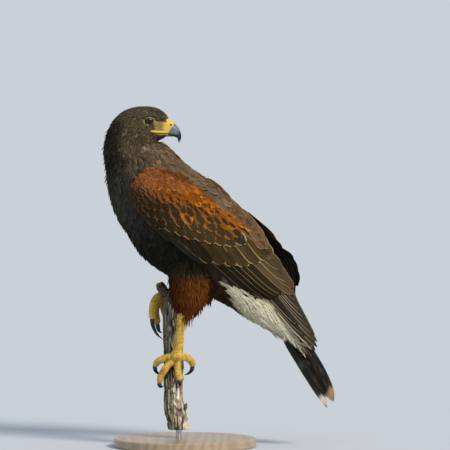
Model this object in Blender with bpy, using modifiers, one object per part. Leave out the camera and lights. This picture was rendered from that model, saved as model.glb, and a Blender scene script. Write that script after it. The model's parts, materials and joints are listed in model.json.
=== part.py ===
"""A bay-winged hawk perched on an upright cut branch, life size, on a plain display stand.

The bird looks back over its left shoulder. +Z is up, +X is the way the bill points, and the bird's left
side, which faces the viewer, is at -Y. The origin is the middle of the base's underside. Tables are in
millimetres and name points of the outline in the X-Z plane; half widths and sideways places are along Y.
"""

import math

import bmesh
import bpy
import numpy as np

MM = 0.001

# The display stand and the branch
BASE_RADIUS = 100.0
BASE_THICKNESS = 12.0
BASE_CHAMFER = 1.5
ROD_RADIUS = 4.0
PERCH_BOTTOM = 24.0
ROD_X = -9.0

# Clearances between neighbouring solids
GAP = 0.35
FACE_GAP = 0.3

# Places along the body table where the trunk, the neck and the head are parted
NECK_START = 11.0
HEAD_START = 13.0
RINGS_PER_STATION = 2

EYE_RADIUS = 7.5
EYE_PLACE = (-49.5, 19.4, 457.0)
HEAD_Y = -3.0

TAIL_TWIST = math.radians(27)

# Left outline x, z; right outline x, z; half width; middle's Y; roundness left; roundness right.
# From the tip of the under-tail coverts, up the trunk and the neck, round to the front of the face.
BODY = [
    (134, 150, 159, 166, 15, 0, 2.2, 2.2),
    (111, 164, 147, 192, 23, 0, 2.2, 2.3),
    (87, 175, 130, 221, 30, 0, 2.2, 2.5),
    (62, 193, 114, 252, 38, 0, 2.2, 2.8),
    (28, 211, 101, 285, 46, 0, 2.2, 3.0),
    (-7, 230, 89, 315, 52, 0, 2.2, 3.0),
    (-42, 252, 73, 340, 57, 0, 2.2, 3.0),
    (-64, 271, 59, 357, 60, 0, 2.2, 3.0),
    (-82, 296, 42, 370.5, 60, 0, 2.2, 2.9),
    (-94.5, 318, 25, 381, 58, 0, 2.2, 2.8),
    (-103, 340, 8, 393, 54, 0, 2.2, 2.6),
    (-108, 363, -9, 407, 48, -1, 2.2, 2.4),
    (-110.5, 386, -21, 418.5, 41, -2, 2.2, 2.4),
    (-115, 409, -31, 426, 35, -3, 2.2, 2.5),
    (-113, 430, -34.5, 427.5, 30.5, -3, 2.2, 2.6),
    (-105, 451, -35, 428.5, 28, -3, 2.2, 2.7),
    (-91, 468, -34, 429.2, 27, -3, 2.2, 2.7),
    (-73, 476, -33, 429.6, 25.5, -3, 2.2, 2.7),
    (-54, 477.5, -32, 430, 24, -3, 2.3, 2.7),
    (-37.5, 474, -30, 431.2, 20.5, -3, 2.4, 2.7),
    (-26, 467.5, -27.5, 433, 15.5, -3, 2.4, 2.6),
    (-20.5, 460, -23.5, 435, 10.5, -3, 2.4, 2.4),
]

# Ridge x, z; cutting edge x, z; half width; middle's Y; roundness at the ridge; roundness at the edge
UPPER_BILL = [
    (-40, 459, -42, 441, 8.5, HEAD_Y, 2.2, 2.4),
    (-30, 460, -32, 440, 8.2, HEAD_Y, 2.2, 2.4),
    (-24, 459, -24.5, 438.6, 7.4, HEAD_Y, 2.2, 2.4),
    (-18, 456.5, -18.5, 437, 6.5, HEAD_Y, 2.0, 2.4),
    (-13, 452, -14.5, 435.8, 5.6, HEAD_Y, 2.0, 2.3),
    (-9, 447, -12.2, 434.8, 4.5, HEAD_Y, 2.0, 2.2),
    (-6.2, 441, -11, 433.6, 3.3, HEAD_Y, 2.0, 2.0),
    (-5, 435.5, -10.3, 431.8, 2.2, HEAD_Y, 2.0, 2.0),
    (-5.8, 430.6, -9.6, 429.2, 1.3, HEAD_Y, 2.0, 2.0),
    (-8, 426.8, -9.2, 427.2, 0.6, HEAD_Y, 2.0, 2.0),
]
LOWER_BILL = [
    (-43, 440, -42, 430.5, 7.2, HEAD_Y, 2.2, 2.2),
    (-32, 438.6, -31, 430.5, 6.4, HEAD_Y, 2.2, 2.2),
    (-23, 437.4, -23, 432, 5.2, HEAD_Y, 2.2, 2.2),
    (-16.5, 435.6, -17, 432.4, 3.6, HEAD_Y, 2.2, 2.2),
    (-12.8, 434.0, -13.4, 433.0, 1.4, HEAD_Y, 2.2, 2.2),
]

# Lower edge x, z; upper edge x, z; outer surface's distance from the middle plane at the lower edge,
# the middle and the upper edge; thickness. From the wrist to the tip of the folded primaries.
NEAR_WING = [
    (-71, 374, -60, 387, 53, 55, 51, 4),
    (-76, 365, -49, 392, 54, 59, 48, 10),
    (-72, 350, -24, 391, 56, 64, 44, 14),
    (-57, 330, 1, 379, 59, 68, 42, 16),
    (-41, 311, 28, 361, 60, 71, 41, 17),
    (-24, 293, 53, 342, 60, 72, 39, 17),
    (-6, 277, 78, 322, 58, 71, 36, 16),
    (14, 263, 99, 306, 54, 67, 32, 14),
    (38, 248, 117, 281, 50, 61, 28, 13),
    (66, 232, 134, 257, 45, 53, 24, 11),
    (94, 220, 146, 235, 40, 45, 21, 9),
    (119, 206, 155, 213, 35, 37, 19, 8),
    (141, 182, 166, 191, 30, 30, 18, 6.5),
    (163, 158, 176.5, 170, 25, 24, 17, 5),
    (181, 136, 187.5, 145.5, 21, 20, 17, 3),
]
# The far wing stands a little off the back, so its upper edge shows past the near one.
FAR_WING_LIFT = {
    5: (57, 346, 39),
    6: (85, 331, 36),
    7: (109, 310, 33),
    8: (130, 288, 30),
    9: (150, 265, 27),
    10: (160, 240, 24),
}

# Centre x, z; half width; thickness of the closed tail, from the coverts to the tip
TAIL = [
    (147.5, 159, 20, 12),
    (157, 144, 24, 10.5),
    (168, 127, 26, 9.5),
    (178, 111, 26.5, 8.5),
    (188, 95, 26.5, 7.5),
    (198.7, 74.6, 25, 5),
    (207, 58, 18, 2.5),
]

# Front x, back x; height; half width; middle's Y of the feathered thighs
NEAR_THIGH = [
    (-10, 22, 272, 10, -30),
    (-22, 28, 259, 17, -34),
    (-26, 32, 245, 21, -38),
    (-26, 36, 231, 22, -41),
    (-25, 36, 214, 20, -42),
    (-21, 31, 202, 16, -42),
    (-13, 21, 190, 11.5, -40),
    (-8, 11, 181, 7.5, -38),
    (-5, 6, 175, 5, -37),
]
FAR_THIGH = [
    (14, 44, 268, 9, 30),
    (4, 54, 254, 15, 34),
    (4, 58, 240, 18, 38),
    (12, 55, 226, 15, 42),
    (20, 47, 214, 11, 44),
    (26, 41, 206, 6.5, 45),
]

# Points x, y, z and the radius there
NEAR_TARSUS = [
    (-1, -41, 200, 6.2),
    (-4.5, -37, 178, 5.4),
    (-7, -31, 157, 5.0),
    (-9, -25, 138, 5.8),
    (-11, -21.9, 129, 7.4),
    (-12, -21.2, 123.5, 5.6),
]
FAR_TARSUS = [
    (34, 46, 214, 6.5),
    (16, 38.5, 215, 5.4),
    (-4, 30, 214, 5.0),
    (-22, 22, 212, 5.8),
    (-31, 16.6, 210, 7.0),
    (-37, 14.5, 208, 5.5),
]

# Each toe's points x, y, z from the foot's pad to the claw's root, then the claw's points to its tip
NEAR_TOES = {
    "inner": (
        [(-14, -19.8, 128), (-23, -18.8, 126.5), (-32, -14.5, 123.5), (-39, -8.5, 119), (-42, -4.5, 113.5)],
        [(-42.3, -3.6, 112), (-41.2, -0.2, 106.5), (-37.6, 3.6, 102.4), (-30.6, 5.2, 100.4)],
    ),
    "middle": (
        [(-14, -19.8, 126), (-20.5, -19.6, 119), (-28, -17.5, 110), (-33.8, -13, 99), (-36, -8.5, 90)],
        [(-35.9, -7, 88.5), (-34.8, -2.5, 85), (-32.9, 2, 84), (-30.2, 4.8, 84.8)],
    ),
    "outer": (
        [(-11.5, -19.8, 125), (-10.5, -18.8, 116), (-9.3, -18.3, 106), (-8.2, -17.9, 98.5), (-7.6, -17.5, 94.5)],
        [(-7.4, -17.2, 93.0), (-6.8, -16.8, 89.6), (-6.3, -14.6, 87.2), (-6.2, -11.5, 86.2)],
    ),
    "hind": (
        [(-9, -20.2, 127), (-1, -18.2, 127), (5.5, -13.5, 124), (9.8, -7.5, 118.5), (10.6, -3.8, 113.8)],
        [(10.5, -3.2, 112.2), (8.9, -2.4, 107), (4.8, -1.9, 102.8), (-1.0, -1.6, 100.6)],
    ),
}
FAR_TOES = {
    "inner": (
        [(-33.5, 14, 209), (-39, 7, 207.5), (-43.5, 0, 200), (-45.2, -4, 188), (-45.8, -5.5, 179.5)],
        [(-46, -5.7, 178), (-44.4, -6.5, 168.5), (-39, -6.8, 158), (-31.5, -4.6, 150.8)],
    ),
    "middle": (
        [(-35, 16, 207), (-41, 13, 200), (-42.5, 9, 189), (-40.5, 6.5, 178), (-39.0, 5.5, 171.5)],
        [(-38.6, 5.4, 170.0), (-37.4, 4.8, 164.5), (-35.4, 4, 161), (-32.0, 3.4, 159.4)],
    ),
    "outer": (
        [(-33.5, 18, 205), (-30.5, 20.5, 197), (-27, 19.5, 187), (-23, 18.6, 177), (-21.5, 18.2, 172)],
        [(-21.2, 18.0, 170.4), (-20.2, 17.4, 166), (-19.5, 16, 162.8), (-19.3, 14.5, 161.5)],
    ),
    "hind": (
        [(-29, 20, 209), (-20, 23.5, 206), (-7, 21.5, 200), (2.0, 13, 192), (4.2, 7, 186.5)],
        [(4.2, 5.6, 185.2), (3.6, 0.5, 180), (0.6, -3.6, 175.5), (-4.4, -5.9, 172.8)],
    ),
}
TOE_RADII = (4.6, 4.2, 3.8, 3.6, 3.3)
CLAW_RADII = (2.6, 2.2, 1.4, 0.5)

# Height; axis x; radius of the branch
BRANCH = [
    (24, -9, 15.2),
    (38, -11.5, 15.4),
    (52, -14, 15.2),
    (66, -16, 13.8),
    (84, -16, 14.0),
    (104, -15.8, 14.2),
    (128, -16.2, 13.6),
    (152, -17.2, 13.6),
    (178, -18, 13.2),
    (200, -18, 12.8),
    (214, -18.4, 12.0),
    (219, -18.6, 9.5),
]
# Broken side twigs: points x, y, z and the radius there
KNOB = [(-22, 0, 208, 6.5), (-29, -1, 217, 7.0), (-34, -1, 225, 6.6), (-36, -1, 230, 4.6)]
SPLINTER = [(-10, -4, 44, 4.5), (-1, -6, 54, 3.4), (2.2, -6.5, 61, 1.2)]

COLOURS = {
    "plumage": ((0.075, 0.052, 0.040), 0.8),
    "wing": ((0.16, 0.085, 0.045), 0.8),
    "thigh": ((0.24, 0.085, 0.030), 0.85),
    "tail": ((0.040, 0.030, 0.026), 0.7),
    "scales": ((0.70, 0.50, 0.10), 0.5),
    "claw": ((0.015, 0.016, 0.020), 0.25),
    "bill": ((0.24, 0.27, 0.30), 0.3),
    "eye": ((0.05, 0.022, 0.012), 0.05),
    "bark": ((0.33, 0.28, 0.23), 0.9),
    "stand_wood": ((0.12, 0.07, 0.045), 0.4),
    "stand_steel": ((0.45, 0.45, 0.46), 0.3),
}


def make_material(name):
    colour, roughness = COLOURS[name]
    material = bpy.data.materials.new(name)
    material.use_nodes = True
    shader = material.node_tree.nodes["Principled BSDF"]
    shader.inputs["Base Color"].default_value = (*colour, 1)
    shader.inputs["Roughness"].default_value = roughness
    shader.inputs["Metallic"].default_value = 1.0 if name == "stand_steel" else 0.0
    return material


def smooth_rows(table, places):
    """Rows of a table at fractional places, on a Catmull-Rom curve through its rows."""
    rows = np.array(table, float)
    rows = np.vstack([2 * rows[0] - rows[1], rows, 2 * rows[-1] - rows[-2]])
    places = np.asarray(places, float)
    first = np.clip(np.floor(places).astype(int), 0, len(rows) - 4)
    t = (places - first)[:, None]
    a, b, c, d = (rows[first + k] for k in range(4))
    return 0.5 * (
        2 * b + (c - a) * t + (2 * a - 5 * b + 4 * c - d) * t**2 + (3 * b - a - 3 * c + d) * t**3
    )


def outline_ring(row, count):
    """A flat closed ring from its left and right outline points, a rounded superellipse in between."""
    left_x, left_z, right_x, right_z, half_width, middle_y, round_left, round_right = row
    turn = np.linspace(0, 2 * math.pi, count, endpoint=False)
    power = 2 / np.where(np.cos(turn) > 0, round_right, round_left)
    along = np.sign(np.cos(turn)) * np.abs(np.cos(turn)) ** power
    across = np.sign(np.sin(turn)) * np.abs(np.sin(turn)) ** power
    centre = np.array([(left_x + right_x) / 2, middle_y, (left_z + right_z) / 2])
    half = np.array([right_x - left_x, 0, right_z - left_z]) / 2
    return centre + along[:, None] * half + across[:, None] * np.array([0, half_width, 0])


def shifted_along_normal(ring, distance):
    """The ring moved square to its own plane."""
    middle = ring.mean(axis=0)
    quarter = len(ring) // 4
    normal = np.cross(ring[0] - middle, ring[quarter] - middle)
    return ring + normal / np.linalg.norm(normal) * distance


def outlined_rings(table, start, end, count):
    steps = round((end - start) * RINGS_PER_STATION) + 1
    return [outline_ring(row, count) for row in smooth_rows(table, np.linspace(start, end, steps))]


def wing_ring(row, side, count):
    """A section of a folded wing: a bowed outer face, and an inner face that meets it at both edges."""
    low_x, low_z, high_x, high_z, low_out, mid_out, high_out, thickness = row
    turn = np.linspace(0, 2 * math.pi, count, endpoint=False)
    t = np.cos(turn)
    outer = mid_out + (high_out - low_out) / 2 * t + ((high_out + low_out) / 2 - mid_out) * t**2
    inward = np.where(np.sin(turn) < 0, thickness * np.abs(np.sin(turn)) ** 0.8, 0)
    x = (low_x + high_x) / 2 + (high_x - low_x) / 2 * t
    z = (low_z + high_z) / 2 + (high_z - low_z) / 2 * t
    return np.stack([x, side * (outer - inward), z], axis=1)


def tail_ring(row, count):
    """A flat oval square to the tail's line, twisted so that its underside shows from the bird's left."""
    x, z, half_width, thickness = row
    along = np.array([TAIL[-1][0] - TAIL[0][0], 0, TAIL[-1][1] - TAIL[0][1]], float)
    along /= np.linalg.norm(along)
    sideways = np.array([0.0, 1.0, 0.0])
    below = np.cross(along, sideways)
    twisted = sideways * math.cos(TAIL_TWIST) + below * math.sin(TAIL_TWIST)
    square = np.cross(along, twisted)
    turn = np.linspace(0, 2 * math.pi, count, endpoint=False)
    return (
        np.array([x, 0, z])
        + np.cos(turn)[:, None] * twisted * half_width
        + (np.sign(np.sin(turn)) * np.abs(np.sin(turn)) ** 0.8)[:, None] * square * thickness / 2
    )


def level_ring(row, count):
    """A level oval from its front and back."""
    front, back, height, half_width, middle_y = row
    turn = np.linspace(0, 2 * math.pi, count, endpoint=False)
    x = (front + back) / 2 + (back - front) / 2 * np.cos(turn)
    return np.stack([x, middle_y + half_width * np.sin(turn), np.full(count, height)], axis=1)


def tube_rings(points, count, steps):
    """Round rings square to a smooth line through points that hold x, y, z and a radius."""
    rows = smooth_rows(points, np.linspace(0, len(points) - 1, steps))
    ahead = np.gradient(rows[:, :3], axis=0)
    ahead /= np.linalg.norm(ahead, axis=1)[:, None]
    turn = np.linspace(0, 2 * math.pi, count, endpoint=False)
    side = np.cross(ahead[0], [0.3, 1.0, 0.2])
    rings = []
    for row, line in zip(rows, ahead):
        side = side - line * (side @ line)
        side /= np.linalg.norm(side)
        other = np.cross(line, side)
        circle = np.cos(turn)[:, None] * side + np.sin(turn)[:, None] * other
        rings.append(row[:3] + row[3] * circle)
    return rings


def loft(name, rings, material, collection):
    """One closed body through rings of equally many points, in millimetres, with a fan over each end."""
    count = len(rings[0])
    mesh = bpy.data.meshes.new(name)
    shape = bmesh.new()
    loops = [[shape.verts.new(point * MM) for point in ring] for ring in rings]
    for lower, upper in zip(loops, loops[1:]):
        for k in range(count):
            n = (k + 1) % count
            shape.faces.new((lower[k], lower[n], upper[n], upper[k]))
    for ring, loop in ((rings[0], loops[0]), (rings[-1], loops[-1])):
        middle = shape.verts.new(ring.mean(axis=0) * MM)
        for k in range(count):
            shape.faces.new((loop[k], loop[(k + 1) % count], middle))
    bmesh.ops.recalc_face_normals(shape, faces=shape.faces)
    shape.to_mesh(mesh)
    shape.free()
    return add_object(name, mesh, material, collection)


def add_object(name, mesh, material, collection):
    mesh.materials.append(make_material(material) if isinstance(material, str) else material)
    for polygon in mesh.polygons:
        polygon.use_smooth = True
    made = bpy.data.objects.new(name, mesh)
    collection.objects.link(made)
    return made


def grown_copy(source, cutters):
    """A hidden cutter: the source with every point moved outwards by the gap that neighbours keep."""
    shape = bmesh.new()
    shape.from_mesh(source.data)
    shape.normal_update()
    moves = [vertex.normal * GAP * MM for vertex in shape.verts]
    for vertex, move in zip(shape.verts, moves):
        vertex.co += move
    mesh = bpy.data.meshes.new(source.name + "_cutter")
    shape.to_mesh(mesh)
    shape.free()
    cutter = bpy.data.objects.new(mesh.name, mesh)
    cutter.hide_render = True
    cutter.display_type = "WIRE"
    cutters.objects.link(cutter)
    return cutter


def boolean(target, operation, other):
    modifier = target.modifiers.new(operation.lower(), "BOOLEAN")
    modifier.operation = operation
    modifier.solver = "EXACT"
    modifier.use_self = True
    modifier.object = other


def make_body(model):
    """The trunk, the neck and the head are one lofted form, parted square to its line."""
    last = len(BODY) - 1
    made = {}
    for name, start, end, count in (
        ("trunk", 0.0, NECK_START, 22),
        ("neck", NECK_START, HEAD_START, 20),
        ("head", HEAD_START, float(last), 20),
    ):
        rings = outlined_rings(BODY, start, end, count)
        if start > 0:
            rings[0] = shifted_along_normal(rings[0], GAP / 2)
        if end < last:
            rings[-1] = shifted_along_normal(rings[-1], -GAP / 2)
        made[name] = loft(name, rings, "plumage", model)
    return made


def make_eye(name, side, model):
    shape = bmesh.new()
    bmesh.ops.create_uvsphere(shape, u_segments=14, v_segments=8, radius=EYE_RADIUS * MM)
    mesh = bpy.data.meshes.new(name)
    shape.to_mesh(mesh)
    shape.free()
    eye = add_object(name, mesh, "eye", model)
    x, out, z = EYE_PLACE
    eye.location = (x * MM, (HEAD_Y + side * out) * MM, z * MM)
    return eye


def socket_cutter(eye, cutters):
    """A ball slightly larger than the eye."""
    cutter = grown_copy(eye, cutters)
    cutter.location = eye.location
    return cutter


def make_foot(side_name, toes, tarsus, model, cutters):
    """Four toes, each cut back where it meets the foot's pad, and the claw beyond each toe's end."""
    pad = grown_copy(tarsus, cutters)
    earlier = []
    for toe_name, (toe_points, claw_points) in toes.items():
        toe_path = [(*point, radius) for point, radius in zip(toe_points, TOE_RADII)]
        claw_path = [(*point, radius) for point, radius in zip(claw_points, CLAW_RADII)]
        toe = loft(f"{side_name}_toe_{toe_name}", tube_rings(toe_path, 8, 9), "scales", model)
        boolean(toe, "DIFFERENCE", pad)
        for cutter in earlier:
            boolean(toe, "DIFFERENCE", cutter)
        earlier.append(grown_copy(toe, cutters))
        claw = loft(f"{side_name}_claw_{toe_name}", tube_rings(claw_path, 6, 6), "claw", model)
        boolean(claw, "DIFFERENCE", earlier[-1])


def make_perch(model, cutters):
    rings = []
    for height, x, radius in smooth_rows(BRANCH, np.linspace(0, len(BRANCH) - 1, 17)):
        turn = np.linspace(0, 2 * math.pi, 14, endpoint=False)
        lumps = 1 - 0.035 * (1 + np.sin(3 * turn + 0.045 * height)) / 2
        rings.append(
            np.stack(
                [x + radius * lumps * np.cos(turn), radius * lumps * np.sin(turn), np.full(14, height)], axis=1
            )
        )
    perch = loft("perch", rings, "bark", model)
    for name, points, steps in (("knob", KNOB, 6), ("splinter", SPLINTER, 5)):
        stub = loft(name, tube_rings(points, 8, steps), "bark", cutters)
        stub.hide_render = True
        stub.display_type = "WIRE"
        boolean(perch, "UNION", stub)
    return perch


def make_stand(model):
    """A round base with a small chamfer, and the steel rod between it and the branch."""
    bpy.ops.mesh.primitive_cylinder_add(vertices=48, radius=BASE_RADIUS * MM, depth=BASE_THICKNESS * MM)
    base = bpy.context.object
    base.name = base.data.name = "stand_base"
    base.location = (0, 0, BASE_THICKNESS * MM / 2)
    bevel = base.modifiers.new("chamfer", "BEVEL")
    bevel.width = BASE_CHAMFER * MM
    bevel.segments = 1
    bevel.limit_method = "ANGLE"
    base.data.materials.append(make_material("stand_wood"))
    rod_bottom = BASE_THICKNESS + FACE_GAP
    rod_length = PERCH_BOTTOM - FACE_GAP - rod_bottom
    bpy.ops.mesh.primitive_cylinder_add(vertices=24, radius=ROD_RADIUS * MM, depth=rod_length * MM)
    rod = bpy.context.object
    rod.name = rod.data.name = "stand_rod"
    rod.location = (ROD_X * MM, 0, (rod_bottom + rod_length / 2) * MM)
    rod.data.materials.append(make_material("stand_steel"))
    for made in (base, rod):
        for holder in made.users_collection:
            holder.objects.unlink(made)
        model.objects.link(made)


def far_wing_table():
    """The near wing's table with its upper edge raised where the far wing stands off the back."""
    table = [list(row) for row in NEAR_WING]
    for index, (x, z, out) in FAR_WING_LIFT.items():
        table[index][2:4] = [x, z]
        table[index][6] = out
    return table


def main():
    for old in list(bpy.data.objects):
        bpy.data.objects.remove(old)
    model = bpy.data.collections.new("hawk_model")
    cutters = bpy.data.collections.new("cutters")
    for collection in (model, cutters):
        bpy.context.scene.collection.children.link(collection)

    body = make_body(model)
    trunk_cutter = grown_copy(body["trunk"], cutters)
    neck_cutter = grown_copy(body["neck"], cutters)
    head_cutter = grown_copy(body["head"], cutters)

    for name, side in (("eye_right", -1), ("eye_left", 1)):
        eye = make_eye(name, side, model)
        boolean(body["head"], "DIFFERENCE", socket_cutter(eye, cutters))

    upper_bill = loft(
        "bill_upper", outlined_rings(UPPER_BILL, 0.0, len(UPPER_BILL) - 1.0, 12), "bill", model
    )
    lower_bill = loft(
        "bill_lower", outlined_rings(LOWER_BILL, 0.0, len(LOWER_BILL) - 1.0, 10), "bill", model
    )
    boolean(upper_bill, "DIFFERENCE", head_cutter)
    boolean(lower_bill, "DIFFERENCE", head_cutter)
    boolean(lower_bill, "DIFFERENCE", grown_copy(upper_bill, cutters))

    tail = loft("tail", [tail_ring(row, 16) for row in smooth_rows(TAIL, np.linspace(0, 6, 11))], "tail", model)
    boolean(tail, "DIFFERENCE", trunk_cutter)

    wing_places = np.linspace(0, len(NEAR_WING) - 1, 25)
    wings = {}
    for name, side, table in (("wing_left", -1, NEAR_WING), ("wing_right", 1, far_wing_table())):
        rings = [wing_ring(row, side, 14) for row in smooth_rows(table, wing_places)]
        wings[name] = loft(name, rings, "wing", model)
        boolean(wings[name], "DIFFERENCE", trunk_cutter)
        boolean(wings[name], "DIFFERENCE", neck_cutter)

    for side_name, table, tarsus_points, toes, wing in (
        ("left", NEAR_THIGH, NEAR_TARSUS, NEAR_TOES, "wing_left"),
        ("right", FAR_THIGH, FAR_TARSUS, FAR_TOES, "wing_right"),
    ):
        rings = [level_ring(row, 16) for row in smooth_rows(table, np.linspace(0, len(table) - 1, 13))]
        thigh = loft(f"thigh_{side_name}", rings, "thigh", model)
        boolean(thigh, "DIFFERENCE", trunk_cutter)
        boolean(thigh, "DIFFERENCE", grown_copy(wings[wing], cutters))
        tarsus = loft(f"tarsus_{side_name}", tube_rings(tarsus_points, 10, 11), "scales", model)
        make_foot(side_name, toes, tarsus, model, cutters)
        boolean(tarsus, "DIFFERENCE", grown_copy(thigh, cutters))

    make_perch(model, cutters)
    make_stand(model)


main()
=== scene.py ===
"""A bay-winged hawk on a cut branch and a plain stand, seen from its left with its head turned back.

Everything is worked out in millimetres in the model's frame and written to the meshes in metres. +Z is up,
+X is the way the bill points and the bird's left side is at -Y.
"""

import itertools
import json
import math

import bpy
import numpy as np
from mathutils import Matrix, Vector

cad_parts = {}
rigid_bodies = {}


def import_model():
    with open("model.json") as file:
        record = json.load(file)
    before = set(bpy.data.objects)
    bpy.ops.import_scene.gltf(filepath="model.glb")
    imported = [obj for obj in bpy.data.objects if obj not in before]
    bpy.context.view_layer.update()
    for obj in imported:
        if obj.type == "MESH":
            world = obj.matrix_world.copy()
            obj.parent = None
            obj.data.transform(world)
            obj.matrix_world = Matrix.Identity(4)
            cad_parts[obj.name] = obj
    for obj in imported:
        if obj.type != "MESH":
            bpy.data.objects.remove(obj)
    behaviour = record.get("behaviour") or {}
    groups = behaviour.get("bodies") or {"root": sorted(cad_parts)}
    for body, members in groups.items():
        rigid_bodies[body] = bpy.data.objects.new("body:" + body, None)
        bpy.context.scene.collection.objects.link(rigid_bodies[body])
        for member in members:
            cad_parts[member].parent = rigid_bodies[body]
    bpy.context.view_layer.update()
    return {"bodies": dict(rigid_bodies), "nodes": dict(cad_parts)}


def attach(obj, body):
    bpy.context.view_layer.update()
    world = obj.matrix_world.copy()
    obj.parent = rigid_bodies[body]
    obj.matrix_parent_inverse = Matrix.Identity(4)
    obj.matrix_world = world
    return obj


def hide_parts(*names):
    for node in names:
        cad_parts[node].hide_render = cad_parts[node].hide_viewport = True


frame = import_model()

MM = 0.001
RANDOM = np.random.default_rng(20417)
BODY_NAME = next(iter(frame["bodies"]))


# Forms of the bird, as tables of outline points that a smooth curve runs through

# Left outline x, z; right outline x, z; half width; middle's Y; roundness left; roundness right.
# From the tip of the under-tail coverts, up the trunk and the neck, round to the front of the face.
BODY = [
    (134, 150, 159, 166, 20, 0, 2.2, 2.2),
    (111, 164, 147, 192, 27, 0, 2.3, 2.5),
    (87, 175, 130, 221, 33, 0, 2.3, 2.7),
    (62, 193, 114, 252, 38, 0, 2.2, 2.8),
    (28, 211, 101, 285, 46, 0, 2.2, 3.0),
    (-9, 228.5, 89, 315, 52, 0, 2.2, 3.0),
    (-43.5, 250.5, 73, 340, 57, 0, 2.2, 3.0),
    (-65.5, 269.5, 59, 357, 60, 0, 2.2, 3.0),
    (-82, 296, 42, 370.5, 60, 0, 2.2, 2.9),
    (-95.8, 317.4, 25, 381, 58, 0, 2.2, 2.8),
    (-105, 339.5, 8, 393, 54, 0, 2.2, 2.6),
    (-110.2, 362.6, -8.2, 408.3, 48, -1, 2.2, 2.4),
    (-111.6, 386, -19.6, 419.8, 41, -2, 2.2, 2.4),
    (-115, 409, -30.2, 427, 35, -3, 2.2, 2.5),
    (-113, 430, -34.5, 427.5, 30.5, -3, 2.2, 2.6),
    (-105, 451, -35, 428.5, 28, -3, 2.2, 2.7),
    (-91, 468, -34, 429.2, 27, -3, 2.2, 2.7),
    (-73, 476, -33, 429.6, 25.5, -3, 2.2, 2.7),
    (-54, 477.5, -32, 430, 24, -3, 2.3, 2.7),
    (-37.5, 474, -30, 431.2, 18.4, -3, 2.3, 2.6),
    (-27.8, 467.3, -27.5, 433, 12.0, -3, 2.2, 2.5),
    (-18.8, 460.8, -23.5, 435, 8.6, -3, 2.2, 2.4),
]
# How far the skin lies inside the coat, by place along the body table
COAT_PLACES = (0, 2, 5, 10, 12, 14, 16, 18, 20, 21)
COAT_DEPTHS = (3.0, 4.2, 4.0, 3.6, 3.0, 2.2, 1.8, 1.5, 1.1, 0.8)
# Distance between contour feathers, by place along the body table
FEATHER_ROWS = (0, 3, 4.2, 5, 9, 11, 13, 14, 16, 18, 20, 21)
FEATHER_GAPS = (3.2, 3.4, 4.6, 5.4, 5.4, 4.6, 2.9, 2.1, 1.65, 1.4, 1.1, 1.0)

# Lower edge x, z; upper edge x, z; distance of the outer face from the middle plane at the lower edge,
# the middle and the upper edge. From the wrist to the tip of the folded primaries.
NEAR_WING = [
    (-71, 374, -60, 387, 53, 55, 51),
    (-76, 365, -49, 392, 54, 59, 48),
    (-72, 350, -24, 391, 56, 64, 44),
    (-57, 330, 1, 379, 59, 68, 42),
    (-41, 311, 28, 361, 60, 71, 41),
    (-24, 293, 53, 342, 60, 72, 39),
    (-6, 277, 78, 322, 58, 71, 36),
    (14, 263, 99, 306, 54, 67, 32),
    (38, 248, 117, 281, 50, 61, 28),
    (66, 232, 134, 257, 45, 53, 24),
    (94, 220, 146, 235, 40, 45, 21),
    (119, 206, 155, 213, 35, 37, 19),
    (141, 182, 166, 191, 30, 30, 18),
    (163, 158, 176.5, 170, 25, 24, 17),
    (181, 136, 187.5, 145.5, 21, 20, 17),
]
# The far wing stands a little off the back, so its upper edge shows past the near one: for some rows of the
# near wing's table, the upper edge's x, z and distance from the middle plane there.
FAR_WING_LIFT = {
    5: (55, 343.5, 39),
    6: (84, 329.8, 36),
    7: (109.6, 310.6, 33),
    8: (127, 285.7, 30),
    9: (150.3, 264.3, 27),
    10: (157, 238.2, 24),
}
# The folded wing's own chart: along it from the wrist to its tip, and across it towards the back
WRIST = np.array([-74.0, 358.0])
WING_ALONG = np.array([0.7676, -0.6410])
WING_ACROSS = np.array([0.6410, 0.7676])

# Front x, back x; height; half width; middle's Y of the feathered thighs
THIGHS = {
    "left": [
        (-10, 22, 272, 10, -30),
        (-22, 28, 259, 17, -34),
        (-26, 32, 245, 21, -38),
        (-26, 36, 231, 22, -41),
        (-25, 36, 214, 20, -42),
        (-21, 31, 202, 16, -42),
        (-13, 21, 190, 11.5, -40),
        (-8, 11, 181, 7.5, -38),
        (-5, 6, 175, 5, -37),
    ],
    "right": [
        (14, 44, 268, 9, 30),
        (4, 54, 254, 15, 34),
        (4, 58, 240, 18, 38),
        (12, 55, 226, 15, 42),
        (20, 47, 214, 11, 44),
        (26, 41, 206, 6.5, 45),
    ],
}
# Depth of the thighs' coat; where its feathers' roots start and end along the table; where the skin is red
THIGH_COAT = 5.5
THIGH_TOP = {"left": 0.05, "right": 0.1}
THIGH_HEM = {"left": 2.1, "right": 1.0}
THIGH_BACK = {"left": 38, "right": 60}

# Middle line x, z of the closed tail, from the coverts to the tip
TAIL = [(144, 159), (153.5, 143), (164.6, 126), (174.8, 110), (184.8, 94), (196.2, 74.4), (205.4, 58)]
TAIL_TWIST = math.radians(38)

# Points x, y, z of each leg below the thigh, and the radius there
TARSI = {
    "left": [
        (-1, -41, 200, 6.2),
        (-4.5, -37, 178, 5.4),
        (-7, -31, 157, 5.0),
        (-9, -25, 138, 5.8),
        (-11, -21.9, 129, 7.4),
        (-12, -21.2, 123.5, 5.6),
    ],
    "right": [
        (34, 46, 214, 6.5),
        (16, 38.5, 215, 5.4),
        (-4, 30, 214, 5.0),
        (-22, 22, 212, 5.8),
        (-31, 16.6, 210, 7.0),
        (-37, 14.5, 208, 5.5),
    ],
}
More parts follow.
